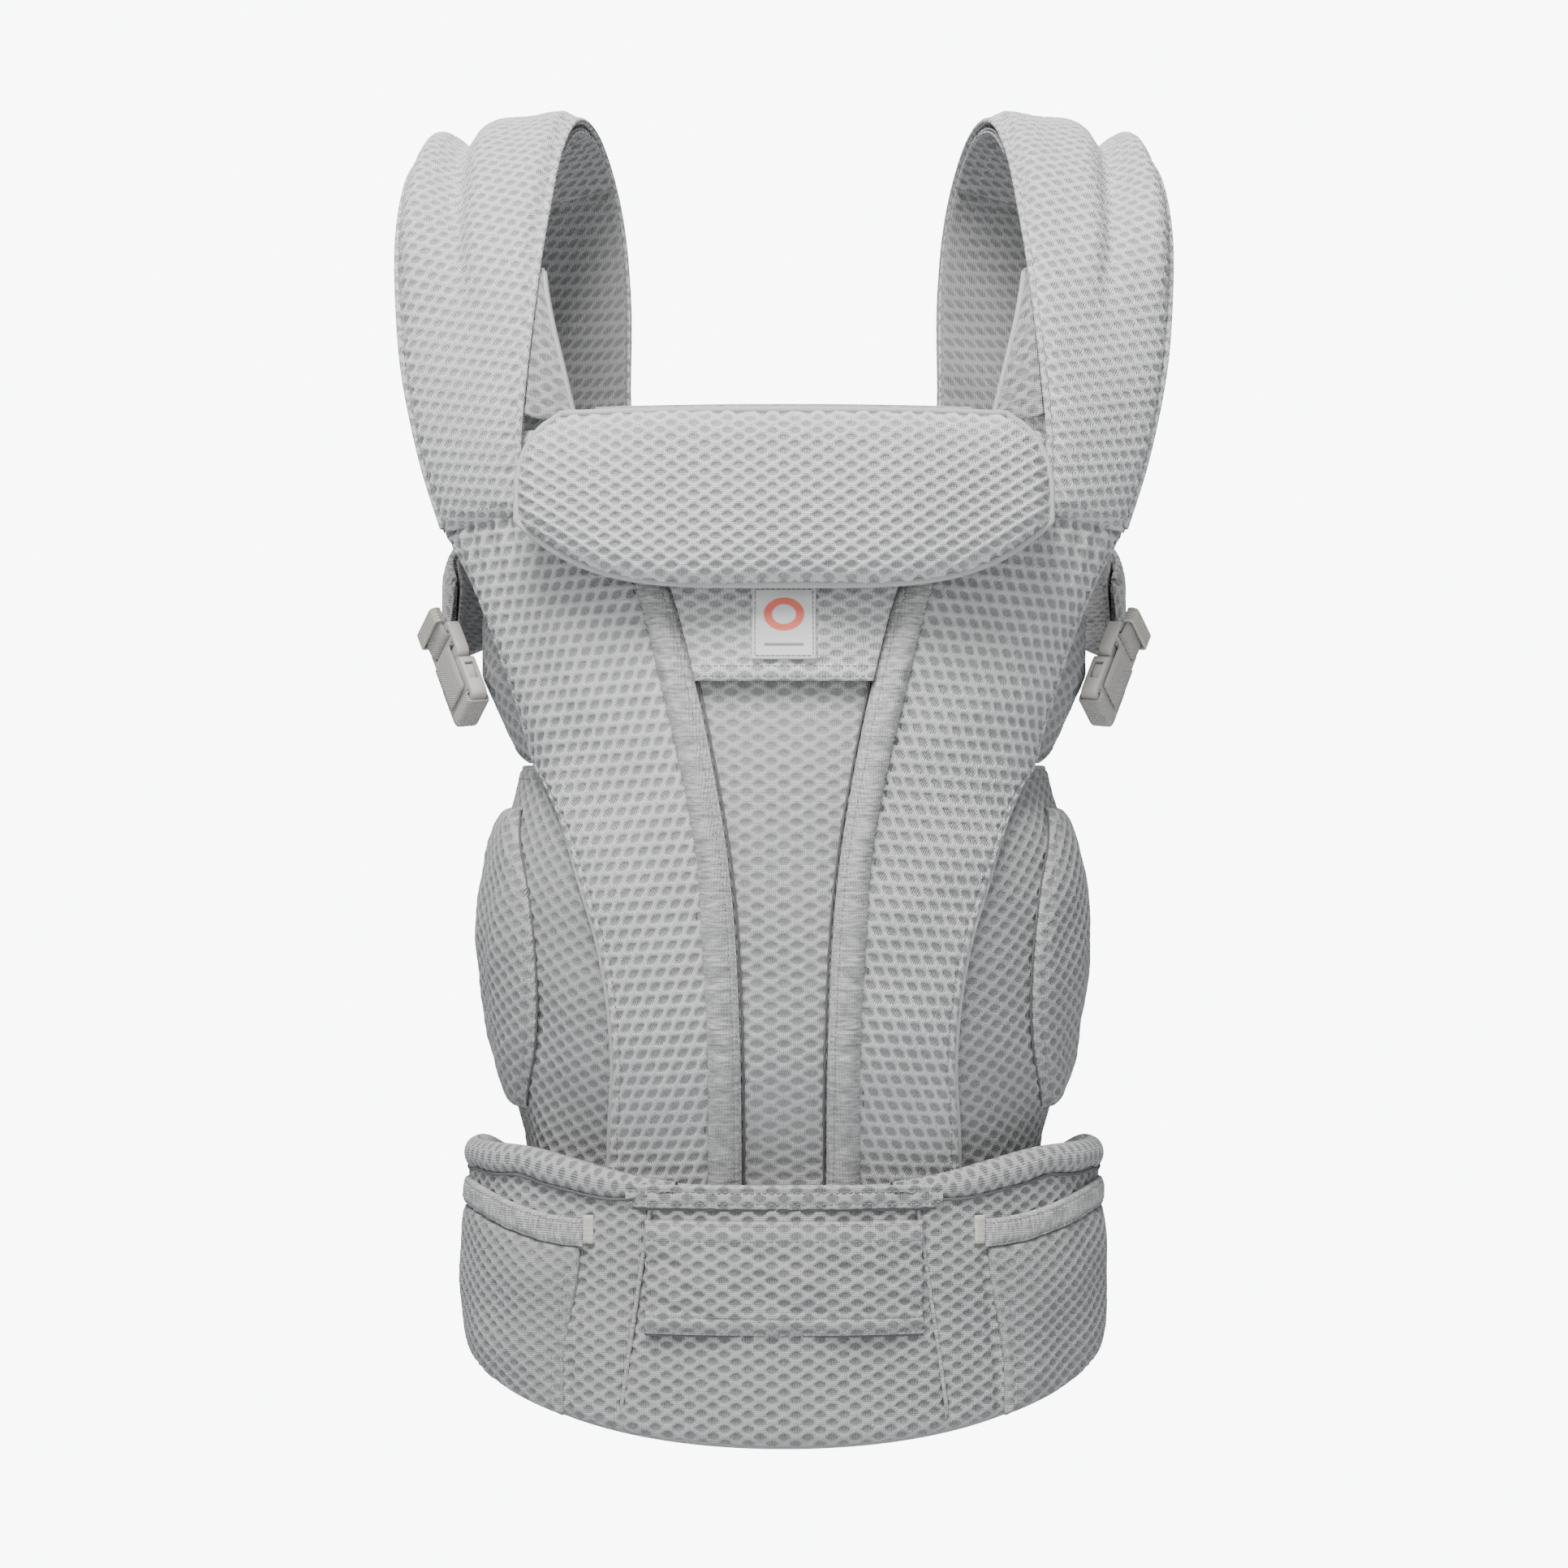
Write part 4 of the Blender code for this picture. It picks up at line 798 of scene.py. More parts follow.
def makeCentre():
    z, flat, normal, u = formGrid(form["low"], form["high"], None,
                                  lambda h: railAngle(railInner, h) + 0.3, 309, 81)
    edge, sides = edgeDistance(flat)
    zigzag = np.abs(((z + 0.5 * np.abs(((u / meshCell["width"]) % 1) - 0.5)
                      * meshCell["height"]) / 0.0075) % 1 - 0.5) * 2
    lift = -0.0024 - 0.0016 * (1 - roll(np.minimum(sides[0], sides[1]), 0.0045)) - 0.0004 * zigzag
    lift = lift - 0.0010 * dimple(u, z, size=centreSize) + 0.0007 * waves(u, z, 0.10, 51)
    quilt("centre_panel", 1, flat, normal, lift, -0.0060, (u, z), "centreMesh", ("centre_mesh",))

    def liningEdge(h):
        return 84 - 36 * ease((h - 0.270) / 0.030) - 8 * ease((h - 0.44) / 0.04)

    z, flat, normal, u = formGrid(form["low"], form["high"], None, liningEdge, 173, 181)
    edge, sides = edgeDistance(flat)
    soft = 0.0008 * waves(u, z, 0.08, 52) * roll(edge, 0.02)
    quilt("panel_inner_lining", 1, flat, normal, -0.0090 + soft, -0.0104 + 0.0006 * (1 - roll(edge, 0.003))
          + soft, (u, z), "lining", ("panel_lining",))


def flapEdge(h, back):
    return railAngle(railInner, h) - back


def makeRolledHood():
    z, flat, normal, u = formGrid(form["flapLow"] + 0.014, form["high"] - 0.010, None,
                                  lambda h: flapEdge(h, 3), 69, 89)
    rim = edgeDistance(flat)[0]
    folds = 0.0006 * np.sin(z / 0.009 * 2 * np.pi + 0.6 * waves(u, z, 0.05, 61))
    quilt("rolled_hood", 1, flat, normal, -0.0010 + 0.0034 * roll(rim, 0.006) + folds * roll(rim, 0.01),
          -0.0018, (u, z), "hood", ("stowed_hood",))


def makeFlap():
    z, flat, normal, u = formGrid(form["flapLow"], form["high"] - 0.002, None, lambda h: flapEdge(h, 0.6),
                                  105, 113)
    rim, sides = edgeDistance(flat)
    hemmed = ease((0.0095 - sides[2]) / 0.0012)
    lift = 0.0036 + 0.0022 * (0.3 + 0.7 * roll(rim, 0.0022)) + 0.0006 * hemmed
    lift = lift - 0.0012 * dimple(u, z) * (1 - hemmed) * roll(rim, 0.004)
    hemRows, height = (0.0024, 0.0080), form["high"] - 0.002 - form["flapLow"]
    for row in hemRows:
        lift = lift - 0.0005 * bell(sides[2] - row, 0.0010)
    lift = lift + (0.0012 * bell(u, 0.05) + 0.0008 * waves(u, z * 1.5, 0.05, 62)) * roll(rim, 0.015)
    quilt("hood_pocket_flap", 1, flat, normal, lift, 0.0034, (u, z), "mesh", ("hood_flap",),
          seams=[(row / height, [0.015, 0.985]) for row in hemRows])


label = {"low": 0.3585, "high": 0.3985, "half": 0.0168, "thick": 0.0009, "lift": 0.0087}


def makeLabel():
    z, flat, normal, u = formGrid(label["low"], label["high"], None,
                                  lambda h: formAngle(label["half"], h), 41, 33)
    rim = edgeDistance(flat)[0]
    lift = label["lift"] + label["thick"] * (0.4 + 0.6 * roll(rim, 0.0008)) + 0.0003 * waves(u, z, 0.03, 63)
    across = [0.05, 0.95]
    quilt("label", 1, flat, normal, lift, 0.0068, (u, z - (label["low"] + label["high"]) / 2), "label",
          ("woven_label",), seams=[(0.05, across, 0.0028), (0.95, across, 0.0028), (across, 0.05, 0.0028),
                                   (across, 0.95, 0.0028)])


def makeRail(name, side):    # crowned roll between centre panel and wing, with piping along its inner edge
    z, flat, normal, u = formGrid(form["low"], form["high"], lambda h: railAngle(railInner, h) - 0.2,
                                  lambda h: railAngle(railOuter, h) + 0.5, 309, 29)
    sides = edgeDistance(flat)[1]
    share = sides[0] / (sides[0] + sides[1])
    crown = np.sin(np.pi * np.clip(share, 0, 1)) ** 0.55
    lift = -0.0016 + 0.0122 * crown * (0.4 + 0.6 * roll(np.minimum(sides[2], sides[3]), 0.012))
    lift = lift - 0.0012 * bell(sides[0] - 0.0034, 0.0009) + 0.0008 * waves(u * 2, z * 4, 0.05, 71) * crown
    ribs = np.sin(z / 0.0031 * 2 * np.pi + 2 * waves(u, z, 0.02, 75))
    lift = lift + 0.00045 * waves(u * 0.4, z * 3, 0.009, 77) * crown + 0.00015 * ribs * crown
    low, high = 0.012, (form["flapLow"] + 0.06 - form["low"]) / (form["high"] - form["low"])
    seam = 0.0034 / np.mean(sides[0] + sides[1], axis=1)[0]
    quilt(name + "_rail_roll", side, flat, normal, lift, -0.0024, (u, z), "knit", (name + "_rail",),
          seams=[([low, high], seam)])
    heights = np.linspace(form["low"] + 0.001, form["high"] - 0.03, 220)
    piping = onForm(railAngle(railInner, heights) + 0.05, heights, 0.0006) * (side, 1, 1)
    cords(name + "_rail_piping", [piping], 0.0010, "knit")
    # near-black cords paint the shade along both edges of the roll
    crease_painted_shade = [onForm(railAngle(railInner, heights) - 0.75, heights, -0.0016) * (side, 1, 1),
              onForm(railAngle(railOuter, heights) + 0.9, heights, 0.0022) * (side, 1, 1)]
    cords(name + "_rail_crease", crease_painted_shade, 0.0007, "fold", sides=6)


def makeWing(name, side):
    z, flat, normal, u = formGrid(form["low"], form["wingHigh"] + 0.009,
                                  lambda h: railAngle(railOuter, h) - 0.2, lambda h: curve(wingEdge, h),
                                  289, 97)
    rim, sides = edgeDistance(flat)
    edge = np.minimum(sides[0], np.minimum(sides[1], sides[3]))
    lift = -0.0010 + 0.0050 * (0.25 + 0.75 * roll(edge, 0.0048))
    cloth = u * form["drape"] + flat[..., 0] * (1 - form["drape"]), z / form["stretch"]
    lift = lift - 0.0014 * dimple(*cloth, wingTurn) * roll(edge, 0.006)
    lift = lift - 0.0007 * bell(sides[1] - 0.0060, 0.0012) - 0.0009 * bell(sides[3] - 0.0085, 0.0016)
    puff = 0.0016 * roll(edge, 0.03) * (0.6 + 0.4 * waves(u, z, 0.12, 81))
    pull = 0.0011 * np.sin(u / 0.016 * 2 * np.pi + 1.5) * bell(sides[3], 0.035) * roll(sides[3], 0.004)
    lift = lift + puff + pull + 0.0007 * waves(u, z, 0.045, 82 + side) * roll(edge, 0.01)
    shares = 1 - 0.0060 / (sides[0] + sides[1])[::12, 0]
    quilt(name + "_wing_panel", side, flat, normal, lift, -0.0014, cloth, "wingMesh", (name + "_wing",),
          seams=[(np.linspace(0.01, 0.985, len(shares)), shares)])
    heights = np.linspace(form["low"], form["wingHigh"], 200)
    cords(name + "_wing_binding", [onForm(curve(wingEdge, heights) + 0.2, heights, 0.0004)], 0.0015,
          "binding", side=side)

    z, flat, normal, u = formGrid(form["wingHigh"] + 0.001, form["high"],
                                  lambda h: railAngle(railOuter, h) - 0.2, lambda h: 47.5 + 0 * h, 37, 25)
    rim, sides = edgeDistance(flat)
    lift = -0.0008 + 0.0042 * (0.25 + 0.75 * roll(rim, 0.004))
    lift = lift - 0.0012 * dimple(u, z, wingTurn) * roll(rim, 0.005)
    quilt(name + "_wing_top", side, flat, normal, lift, -0.0012, (u, z), "wingMesh")


def makeSeatSide(name, side):
    z, flat, normal, u = formGrid(form["low"], form["sideHigh"], lambda h: curve(wingEdge, h) - 9,
                                  lambda h: 90 + 0 * h, 189, 101)
    rim, sides = edgeDistance(flat)
    edge = np.minimum(sides[1], sides[3])
    lift = -0.0070 + 0.0040 * (0.3 + 0.7 * roll(edge, 0.004))
    lift = lift - 0.0011 * dimple(u, z, *sideLattice) * roll(edge, 0.008)
    lift = lift + 0.0011 * waves(u, z, 0.07, 91 + side) * roll(edge, 0.02) * 0.8
    # the seat side takes the darker mesh copy as painted shade
    quilt(name + "_seat_side_panel", side, flat, normal, lift, -0.0074, (u, z), "shadedSideMesh",
          (name + "_seat_side",), seams=[(0.975, [0.2, 0.98])])
    heights = np.linspace(form["low"], form["sideHigh"], 120)
    top = np.linspace(90, 58, 40)
    path = np.concatenate([onForm(90 + 0 * heights, heights, -0.0054),
                           onForm(top, form["sideHigh"] + 0 * top, -0.0054)[1:]])
    cords(name + "_seat_side_binding", [path], 0.0016, "binding", side=side)

    z, flat, normal, u = formGrid(legSeam[0][0], legSeam[-1][0], lambda h: curve(legSeam, h),
                                  lambda h: 99 + 0 * h, 133, 77)
    rim, sides = edgeDistance(flat)
    lift = -0.0030 + 0.0050 * roll(rim, 0.010) + 0.0022 * roll(rim, 0.035)
    lift = lift - 0.0011 * dimple(u, z, *sideLattice) * roll(rim, 0.008)
    lift = lift - 0.0009 * bell(sides[0] - 0.0052, 0.0013)
    lift = lift + 0.0007 * waves(u, z, 0.04, 93 + side) * roll(rim, 0.012)
    shares = 0.0052 / (sides[0] + sides[1])[::12, 0]
    # the leg pad takes the darker mesh copy as painted shade
    quilt(name + "_leg_edge_pad", side, flat, normal, lift, -0.0030 - 0.0012 * roll(rim, 0.01), (u, z),
          "shadedSideMesh", (name + "_leg_pad",), seams=[(np.linspace(0.04, 0.96, len(shares)), shares)])
    # a thin sunk cord marks the leg seam in near-black, as painted shade of the seam's groove
    heights = np.linspace(0.110, 0.276, 90)
    cords(name + "_leg_seam_painted_shade_line", [onForm(curve(legSeam, heights) - 0.2, heights, -0.0022)], 0.0006,
          "fold", side=side)


guard = {"half": 0.172, "depth": 0.106, "thick": 0.0050, "bendZ": 0.352, "lean": 0.45}
guardOutline = [(0.3040, 66, 76), (0.3100, 64, 88), (0.3220, 63, 99), (0.3380, 61, 105), (0.3600, 59, 107),
                (0.3780, 60, 104), (0.3900, 63, 96)]


def makeGuard(name, side):
    z = np.linspace(guardOutline[0][0], guardOutline[-1][0], 61)
    low = curve([(h, a) for h, a, b in guardOutline], z)
    high = curve([(h, b) for h, a, b in guardOutline], z)
    angle = np.radians(low[:, None] + (high - low)[:, None] * np.linspace(0, 1, 57))
    half = (guard["half"] - guard["lean"] * np.clip(guard["bendZ"] - z, 0, None))[:, None]
    normal = unit(np.stack(np.broadcast_arrays(np.sin(angle) / half, -np.cos(angle) / guard["depth"], 0.0),
                           -1))
    flat = np.stack(np.broadcast_arrays(half * np.sin(angle), form["backY"] - guard["depth"] * np.cos(angle),
                                        z[:, None]), -1) - normal * guard["thick"] / 2
    rim, sides = edgeDistance(flat)
    u, v = sides[0], sides[2]
    full = roll(rim, 0.0045)
    lift = guard["thick"] / 2 * (0.25 + 0.75 * full) - 0.0009 * dimple(u, v, *sideLattice) * full
    lift = lift - 0.0007 * bell(rim - 0.0062, 0.0012)
    # the buckle guard takes the darker mesh copy as painted shade
    quilt(name + "_buckle_guard_pad", side, flat, normal, lift, -guard["thick"] / 2 * (0.25 + 0.75 * full)
          + 0.0004 * bell(rim - 0.0062, 0.0012), (u, v), "shadedSideMesh", (name + "_buckle_guard",), coarse=2,
          seams=[(0.93, [0.14, 0.86]), ([0.14, 0.93], 0.10), ([0.14, 0.93], 0.90)])
    cords(name + "_buckle_guard_binding", [edgeLoop(flat * (side, 1, 1), 3)], 0.0014, "binding")


makeCentre()
makeRolledHood()
makeFlap()
makeLabel()
for sideName, sideSign in bothSides:
    makeRail(sideName, sideSign)
    makeWing(sideName, sideSign)
    makeSeatSide(sideName, sideSign)
    makeGuard(sideName, sideSign)
print("body panel done")


# padded pieces swell by cloth simulation on a coarse grid, which is then made fine
padding = {"frames": 20, "quality": 6}


def swell(name, outer, inner, pinned, pressure, cap):
    rows, columns = outer.shape[:2]
    start = np.concatenate([outer.reshape(-1, 3), inner.reshape(-1, 3)])
    obj = meshObject(name + "_swelling", start, shellFaces(rows, columns, 1))
    seams = obj.vertex_groups.new(name="seams")
    held = np.concatenate([np.flatnonzero(pinned[0]), np.flatnonzero(pinned[1]) + rows * columns])
    seams.add([int(i) for i in held], 1.0, "REPLACE")
    cloth = obj.modifiers.new("swelling", "CLOTH")
    cloth.settings.quality = padding["quality"]
    cloth.settings.use_pressure = True
    cloth.settings.uniform_pressure_force = pressure
    cloth.settings.vertex_group_mass = "seams"
    cloth.settings.effector_weights.gravity = 0
    cloth.point_cache.frame_end = padding["frames"]
    for step in range(1, padding["frames"] + 1):
        bpy.context.scene.frame_set(step)
    made = obj.evaluated_get(bpy.context.evaluated_depsgraph_get()).data
    moved = np.zeros(len(start) * 3, np.float32)
    made.vertices.foreach_get("co", moved)
    bpy.context.scene.frame_set(1)
    bpy.data.objects.remove(obj)
    step = moved.reshape(-1, 3) - start
    far = np.linalg.norm(step, axis=1, keepdims=True)
    end = start + step * np.minimum(1, cap / np.maximum(far, 1e-9))
    print(" ", name, "swelled by up to", round(float(min(far.max(), cap)) * 1000, 1), "mm")
    return end[:rows * columns].reshape(outer.shape), end[rows * columns:].reshape(inner.shape)


# shoulder straps: centre, outward direction and width, from the wing over the shoulder to the tip
strapTable = [((0.1658, -0.078, 0.434), (0.69, -0.72, 0.00), 0.061),
              ((0.1733, -0.077, 0.479), (0.60, -0.80, 0.05), 0.0715),
              ((0.1765, -0.073, 0.525), (0.47, -0.88, 0.10), 0.080),
              ((0.1765, -0.064, 0.567), (0.35, -0.91, 0.22), 0.084),
              ((0.1745, -0.046, 0.608), (0.24, -0.83, 0.50), 0.087),
              ((0.1690, -0.016, 0.643), (0.24, -0.52, 0.82), 0.089),
              ((0.1600, 0.024, 0.659), (0.26, -0.03, 0.96), 0.089),
              ((0.1490, 0.066, 0.650), (0.24, 0.52, 0.82), 0.088),
              ((0.1400, 0.101, 0.622), (0.12, 0.88, 0.44), 0.086),
              ((0.1360, 0.116, 0.583), (0.00, 1.00, 0.00), 0.085),
              ((0.1360, 0.117, 0.530), (0.00, 1.00, 0.00), 0.085),
              ((0.1361, 0.117, 0.478), (0.01, 1.00, 0.00), 0.084),
              ((0.1450, 0.111, 0.452), (0.25, 0.96, -0.03), 0.078),
              ((0.1580, 0.098, 0.426), (0.50, 0.86, -0.05), 0.071),
              ((0.1745, 0.075, 0.407), (0.78, 0.62, -0.05), 0.065),
              ((0.1870, 0.044, 0.394), (0.95, 0.30, 0.00), 0.059),
              ((0.1890, 0.012, 0.3815), (0.98, -0.18, 0.05), 0.053), ]
strap = {"pad": 0.0105, "lining": 0.0030, "seamGap": 0.0007, "railLift": 0.0133, "rail": (7.6, 11.2),
         "railEdges": (-1.02, -0.62), "groove": 0.0085, "pressure": 3.0, "cap": 0.0035}
strapGroove = [(0, 0.0), (3.0, 0.05), (3.6, 0.13), (5.5, 0.38), (6.5, 0.42), (8.0, 0.25), (16, 0.0)]


def strapPlace(at):    # centre, across, outward direction and width at stations from 0 up
    at = np.asarray(at, float)
    last = len(strapTable) - 1

    def centreAt(t):
        return np.stack([curve([(i, row[0][k]) for i, row in enumerate(strapTable)], t) for k in range(3)],
                        -1)

    run = unit(centreAt(np.minimum(at + 0.05, last)) - centreAt(np.maximum(at - 0.05, 0)))
    out = np.stack([curve([(i, row[1][k]) for i, row in enumerate(strapTable)], at) for k in range(3)], -1)
    out = unit(out - run * np.sum(out * run, -1, keepdims=True))
    return centreAt(at), np.cross(run, out), out, curve([(i, row[2]) for i, row in enumerate(strapTable)], at)


def strapGrid(stations, low, high, columns):
    centre, across, out, width = strapPlace(stations)
    s = np.broadcast_to(np.linspace(low, high, columns), (len(stations), columns))
    flat = centre[:, None] + across[:, None] * (s * width[:, None] / 2)[..., None]
    return s, flat, np.broadcast_to(out[:, None], flat.shape)


def makeStrap(name, side):
    last = len(strapTable) - 1
    stations = np.linspace(0.05, last, 137)
    s, flat, out = strapGrid(stations, -1, 1, 17)
    rim, sides = edgeDistance(flat)
    at = np.broadcast_to(stations[:, None], s.shape)
    overTop = ease((at - 2.4) / 1.2) * ease((9.0 - at) / 1.6)    # where the pad folds over the shoulder
    lobes = strap["groove"] * overTop * bell(s - curve(strapGroove, at), 0.17)
    crown = 0.86 * strap["pad"] * (0.30 + 0.70 * roll(rim, 0.015)) + 0.0040 * overTop * roll(rim, 0.02)
    # both lobes stand up
    crown = crown + 0.0060 * overTop * (bell(s - 0.74, 0.20) + 0.55 * bell(s + 0.05, 0.30))
    under = ease((-0.45 - s) / 0.12) * ease((at - 7.2) / 0.4) * ease((11.7 - at) / 0.3)    # the rail's place
    crown = crown - 0.0012 * under
    outer = flat + out * (crown - lobes)[..., None]
    inner = flat + out * (0.0006 + 0.30 * strap["pad"] * (1 - roll(rim, 0.007)))[..., None]
    edge = border(s.shape)
    inside = edge | (np.abs(s) < 0.9)
    outside = edge | ((overTop > 0.25) & (np.abs(s - curve(strapGroove, at)) < 0.07)) | (under > 0.1)
    outer, inner = swell(name + "_strap", outer, inner, (outside, inside), strap["pressure"], strap["cap"])
    rows, columns = 501, 73
    outer, inner = resample(outer, rows, columns), resample(inner, rows, columns)
    rim, sides = edgeDistance(outer)
    u, v = stripMap(sides)
    v = np.broadcast_to(v[:, columns // 2][:, None], rim.shape)
    relief = -0.0013 * dimple(u, v, strapTurn) * roll(rim, 0.007)
    relief = relief + 0.0008 * waves(u, v, 0.06, 101) * roll(rim, 0.02)
    puckers = 0.0005 * np.sin(v / 0.0095 * 2 * np.pi) * bell(np.minimum(sides[0], sides[1]) - 0.006, 0.005)
    normal = normals(outer)
    quilt(name + "_strap_padding", side, outer, normal, relief + puckers, 0, (u, v), "strapMesh",
          (name + "_strap_pad",), innerGrid=inner, seams=[(0.010, [0.08, 0.92])])
    for column in (0, -1):
        path = (outer[:, column] + inner[:, column]) / 2 * (side, 1, 1)
        cords(name + ("_strap_inner" if column == 0 else "_strap_outer") + "_binding", [path[2:-2]], 0.0019,
              "strapMesh", sides=12)


def makeStrapLining(name, side):
    last = len(strapTable) - 1
    s, flat, out = strapGrid(np.linspace(0.05, last, 301), 0.985, -0.985, 41)    # seen from inside
    rim, sides = edgeDistance(flat)
    u, v = stripMap(sides)
    at = np.broadcast_to(np.linspace(0.05, last, 301)[:, None], s.shape)
    lift = strap["seamGap"] + strap["lining"] * (0.35 + 0.65 * roll(rim, 0.006))
    lift = lift + 0.0006 * waves(u, v, 0.035, 111 + side) * roll(rim, 0.01)
    lift = lift - 0.0012 * dimple(u, v) * roll(rim, 0.005)
    for seam in (6.6, 7.7):
        lift = lift - 0.0010 * bell(at - seam, 0.045)
    quilt(name + "_strap_inner_lining", side, flat, -out, lift, 0.0007, (u, v), "liningMesh",
          (name + "_strap_lining",), seams=[((seam - 0.05) / (last - 0.05), [0.04, 0.96])
                                            for seam in (6.52, 6.68, 7.62, 7.78)])

    stations = np.linspace(5.2, 7.62, 81)    # facing inside the fold over the shoulder, of the light mesh
    s, flat, out = strapGrid(stations, 0.985, -0.985, 41)
    rim, sides = edgeDistance(flat)
    u, v = stripMap(sides)
    lift = strap["seamGap"] + strap["lining"] + 0.0016 * roll(rim, 0.003)
    lift = lift - 0.0009 * dimple(u, v) * roll(rim, 0.005)
    lift = lift - 0.0012 * bell(stations - 6.6, 0.05)[:, None]
    quilt(name + "_strap_facing", side, flat, -out, lift, strap["lining"] * 0.9, (u, v), "beltMesh")


def makeChestRail(name, side):
    flat, out = strapGrid(np.linspace(*strap["rail"], 121), *strap["railEdges"], 17)[1:]
    rim, sides = edgeDistance(flat)
    u, v = stripMap(sides)
    lift = strap["railLift"] + 0.0012 * (0.4 + 0.6 * roll(rim, 0.0008))
    quilt(name + "_chest_rail_tape", side, flat, out, lift, strap["railLift"], (u, v), "binding",
          (name + "_chest_rail",),
          seams=[(row, [0.08, 0.92], 0.0028) for row in (0.012, 0.03, 0.97, 0.988)])
    cords(name + "_chest_rail_piping", [(flat[2:-2, c] + out[2:-2, c] * (strap["railLift"] + 0.0006))
                                        * (side, 1, 1) for c in (0, -1)], 0.0009, "piping")
    ends = []    # bar tacks that hold the tape's ends down on the pad
    for row in (0, -1):
        for c in (2, 8, 14):
            top = flat[row, c] + out[row, c] * (strap["railLift"] + 0.0004)
            ends.append(np.linspace(top - out[row, c] * 0.0045, top, 6) * (side, 1, 1))
    cords(name + "_chest_rail_feet", ends, 0.0016, "binding", flat=0.8)


gusset = {"low": 1.25, "high": 3.2, "corner": 34, "half": 0.0015, "gap": 0.0008, "tip": 0.06}


def makeGusset(name, side):    # triangle of fabric between the panel's corner and the strap
    t = np.linspace(0, 1, 49)
    centre, across, out, width = strapPlace(gusset["low"] + (gusset["high"] - gusset["low"]) * t)
    start = centre - across * (width / 2 + gusset["gap"])[:, None]
    reach = onForm(gusset["corner"], form["high"], -0.003) + (0, 0, 0.0015) - start[0]
    share = gusset["tip"] + (1 - gusset["tip"]) * (1 - t) ** 1.2
    s = np.linspace(1, 0, 41)
    flat = start[:, None] + reach * (share[:, None] * s)[..., None]
    normal = np.broadcast_to(out[:, None], flat.shape)
    rim, sides = edgeDistance(flat)
    u, v = sides[1], sides[2]
    lift = gusset["half"] * (0.3 + 0.7 * roll(rim, 0.003)) - 0.0009 * dimple(u, v, -20) * roll(rim, 0.006)
    # the strap corner takes the darker mesh copy as painted shade
    quilt(name + "_strap_corner", side, flat, normal, lift, -gusset["half"] * 0.6, (u, v), "shadedSideMesh",
          (name + "_strap_gusset",))
    cords(name + "_strap_corner_binding", [flat[1:-1, 0]], 0.0016, "binding", side=side)


# head support, folded down over the panel
pillow = {"top": 0.4935, "low": 0.3985, "half": 0.146, "corner": (0.032, 0.042), "rise": 0.036,
          "backY": -0.1435, "deep": 0.032, "lean": 0.0070, "sweep": 0.030, "rim": 0.40, "pressure": 3.0,
          "cap": 0.0045}


def pillowGrid(rows, columns):    # rows from the lower edge up, columns to the right; flat back plane
    across, down = np.meshgrid(np.linspace(-1, 1, columns), np.linspace(1, 0, rows))
    low = pillow["low"] + pillow["rise"] * np.abs(across) ** 4
    z = pillow["top"] + (low - pillow["top"]) * down
    up = np.clip((z - (pillow["top"] - pillow["corner"][1])) / pillow["corner"][1], 0, 0.97)
    x = (pillow["half"] - pillow["corner"][0] * (1 - np.sqrt(1 - up ** 2))) * across
    y = pillow["backY"] - pillow["lean"] * down + pillow["sweep"] * np.abs(across) ** 2.2
    return np.stack([x, y, z], -1)


def makeHeadSupport():
    rows, columns = 21, 57
    flat = pillowGrid(rows, columns)
    rim, sides = edgeDistance(flat)
    forward = np.broadcast_to((0.0, -1.0, 0.0), flat.shape)
    full = 0.55 * roll(rim, 0.016) + 0.45 * roll(rim, 0.050)
    outer = flat + forward * (pillow["deep"] * (pillow["rim"] + (0.93 - pillow["rim"]) * full))[..., None]
    inner = flat + forward * (pillow["deep"] * pillow["rim"] * (1 - roll(rim, 0.022)))[..., None]
    edge = border(rim.shape)
    outer, inner = swell("head_support", outer, inner, (edge, edge | (rim > 0.012)), pillow["pressure"],
                         pillow["cap"])
    rows, columns = 105, 237
    outer, inner = resample(outer, rows, columns), resample(inner, rows, columns)
    rim, sides = edgeDistance(outer)
    middle = resample(pillowGrid(21, 57), rows, columns)
    u, v = middle[..., 0] * 1.02, middle[..., 2] - pillow["top"]
    v = v + (outer[..., 2] - middle[..., 2])
    gather = 0.0006 * np.sin(u / 0.0085 * 2 * np.pi)
    gather = gather * (bell(sides[2] - 0.006, 0.005) + bell(sides[3] - 0.006, 0.005))
    relief = -0.0016 * dimple(u, v) * roll(rim, 0.006) + gather
    relief = relief + 0.0012 * waves(u, v, 0.09, 121) * roll(rim, 0.02)
    quilt("head_support_pillow", 1, outer, normals(outer), relief, 0, (u, v), "mesh", ("head_support",),
          body="head_support", innerGrid=inner)
    cords("head_support_piping", [edgeLoop((outer + inner) / 2, 2)], 0.0019, "piping", body="head_support",
          sides=10, hint=(0, 1, 0))
    x = np.linspace(-0.103, 0.103, 161)
    t = np.linspace(0, 1, 17)[:, None, None]
    panelTop = onForm(formAngle(x, form["high"]), form["high"] + 0.0002, 0.0006)
    back = pillow["backY"] + pillow["sweep"] * np.abs(x / 0.114) ** 2.2
    crest = np.stack([x, (panelTop[:, 1] + back) / 2 - 0.002, 0 * x + 0.5010], -1)
    far = np.stack([x, back - 0.0110, 0 * x + 0.4952], -1)
    tape = panelTop * (1 - t) ** 2 + crest * 2 * t * (1 - t) + far * t ** 2
    tape = tape[:, ::-1]
    rim, sides = edgeDistance(tape)
    normal = normals(tape)
    made = quilt("head_support_hinge_fabric", 1, tape, normal, 0.0007, -0.0007, (sides[0], sides[2]), "knit",
                 ("head_support_hinge_tape",), body=None)
    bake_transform(made)


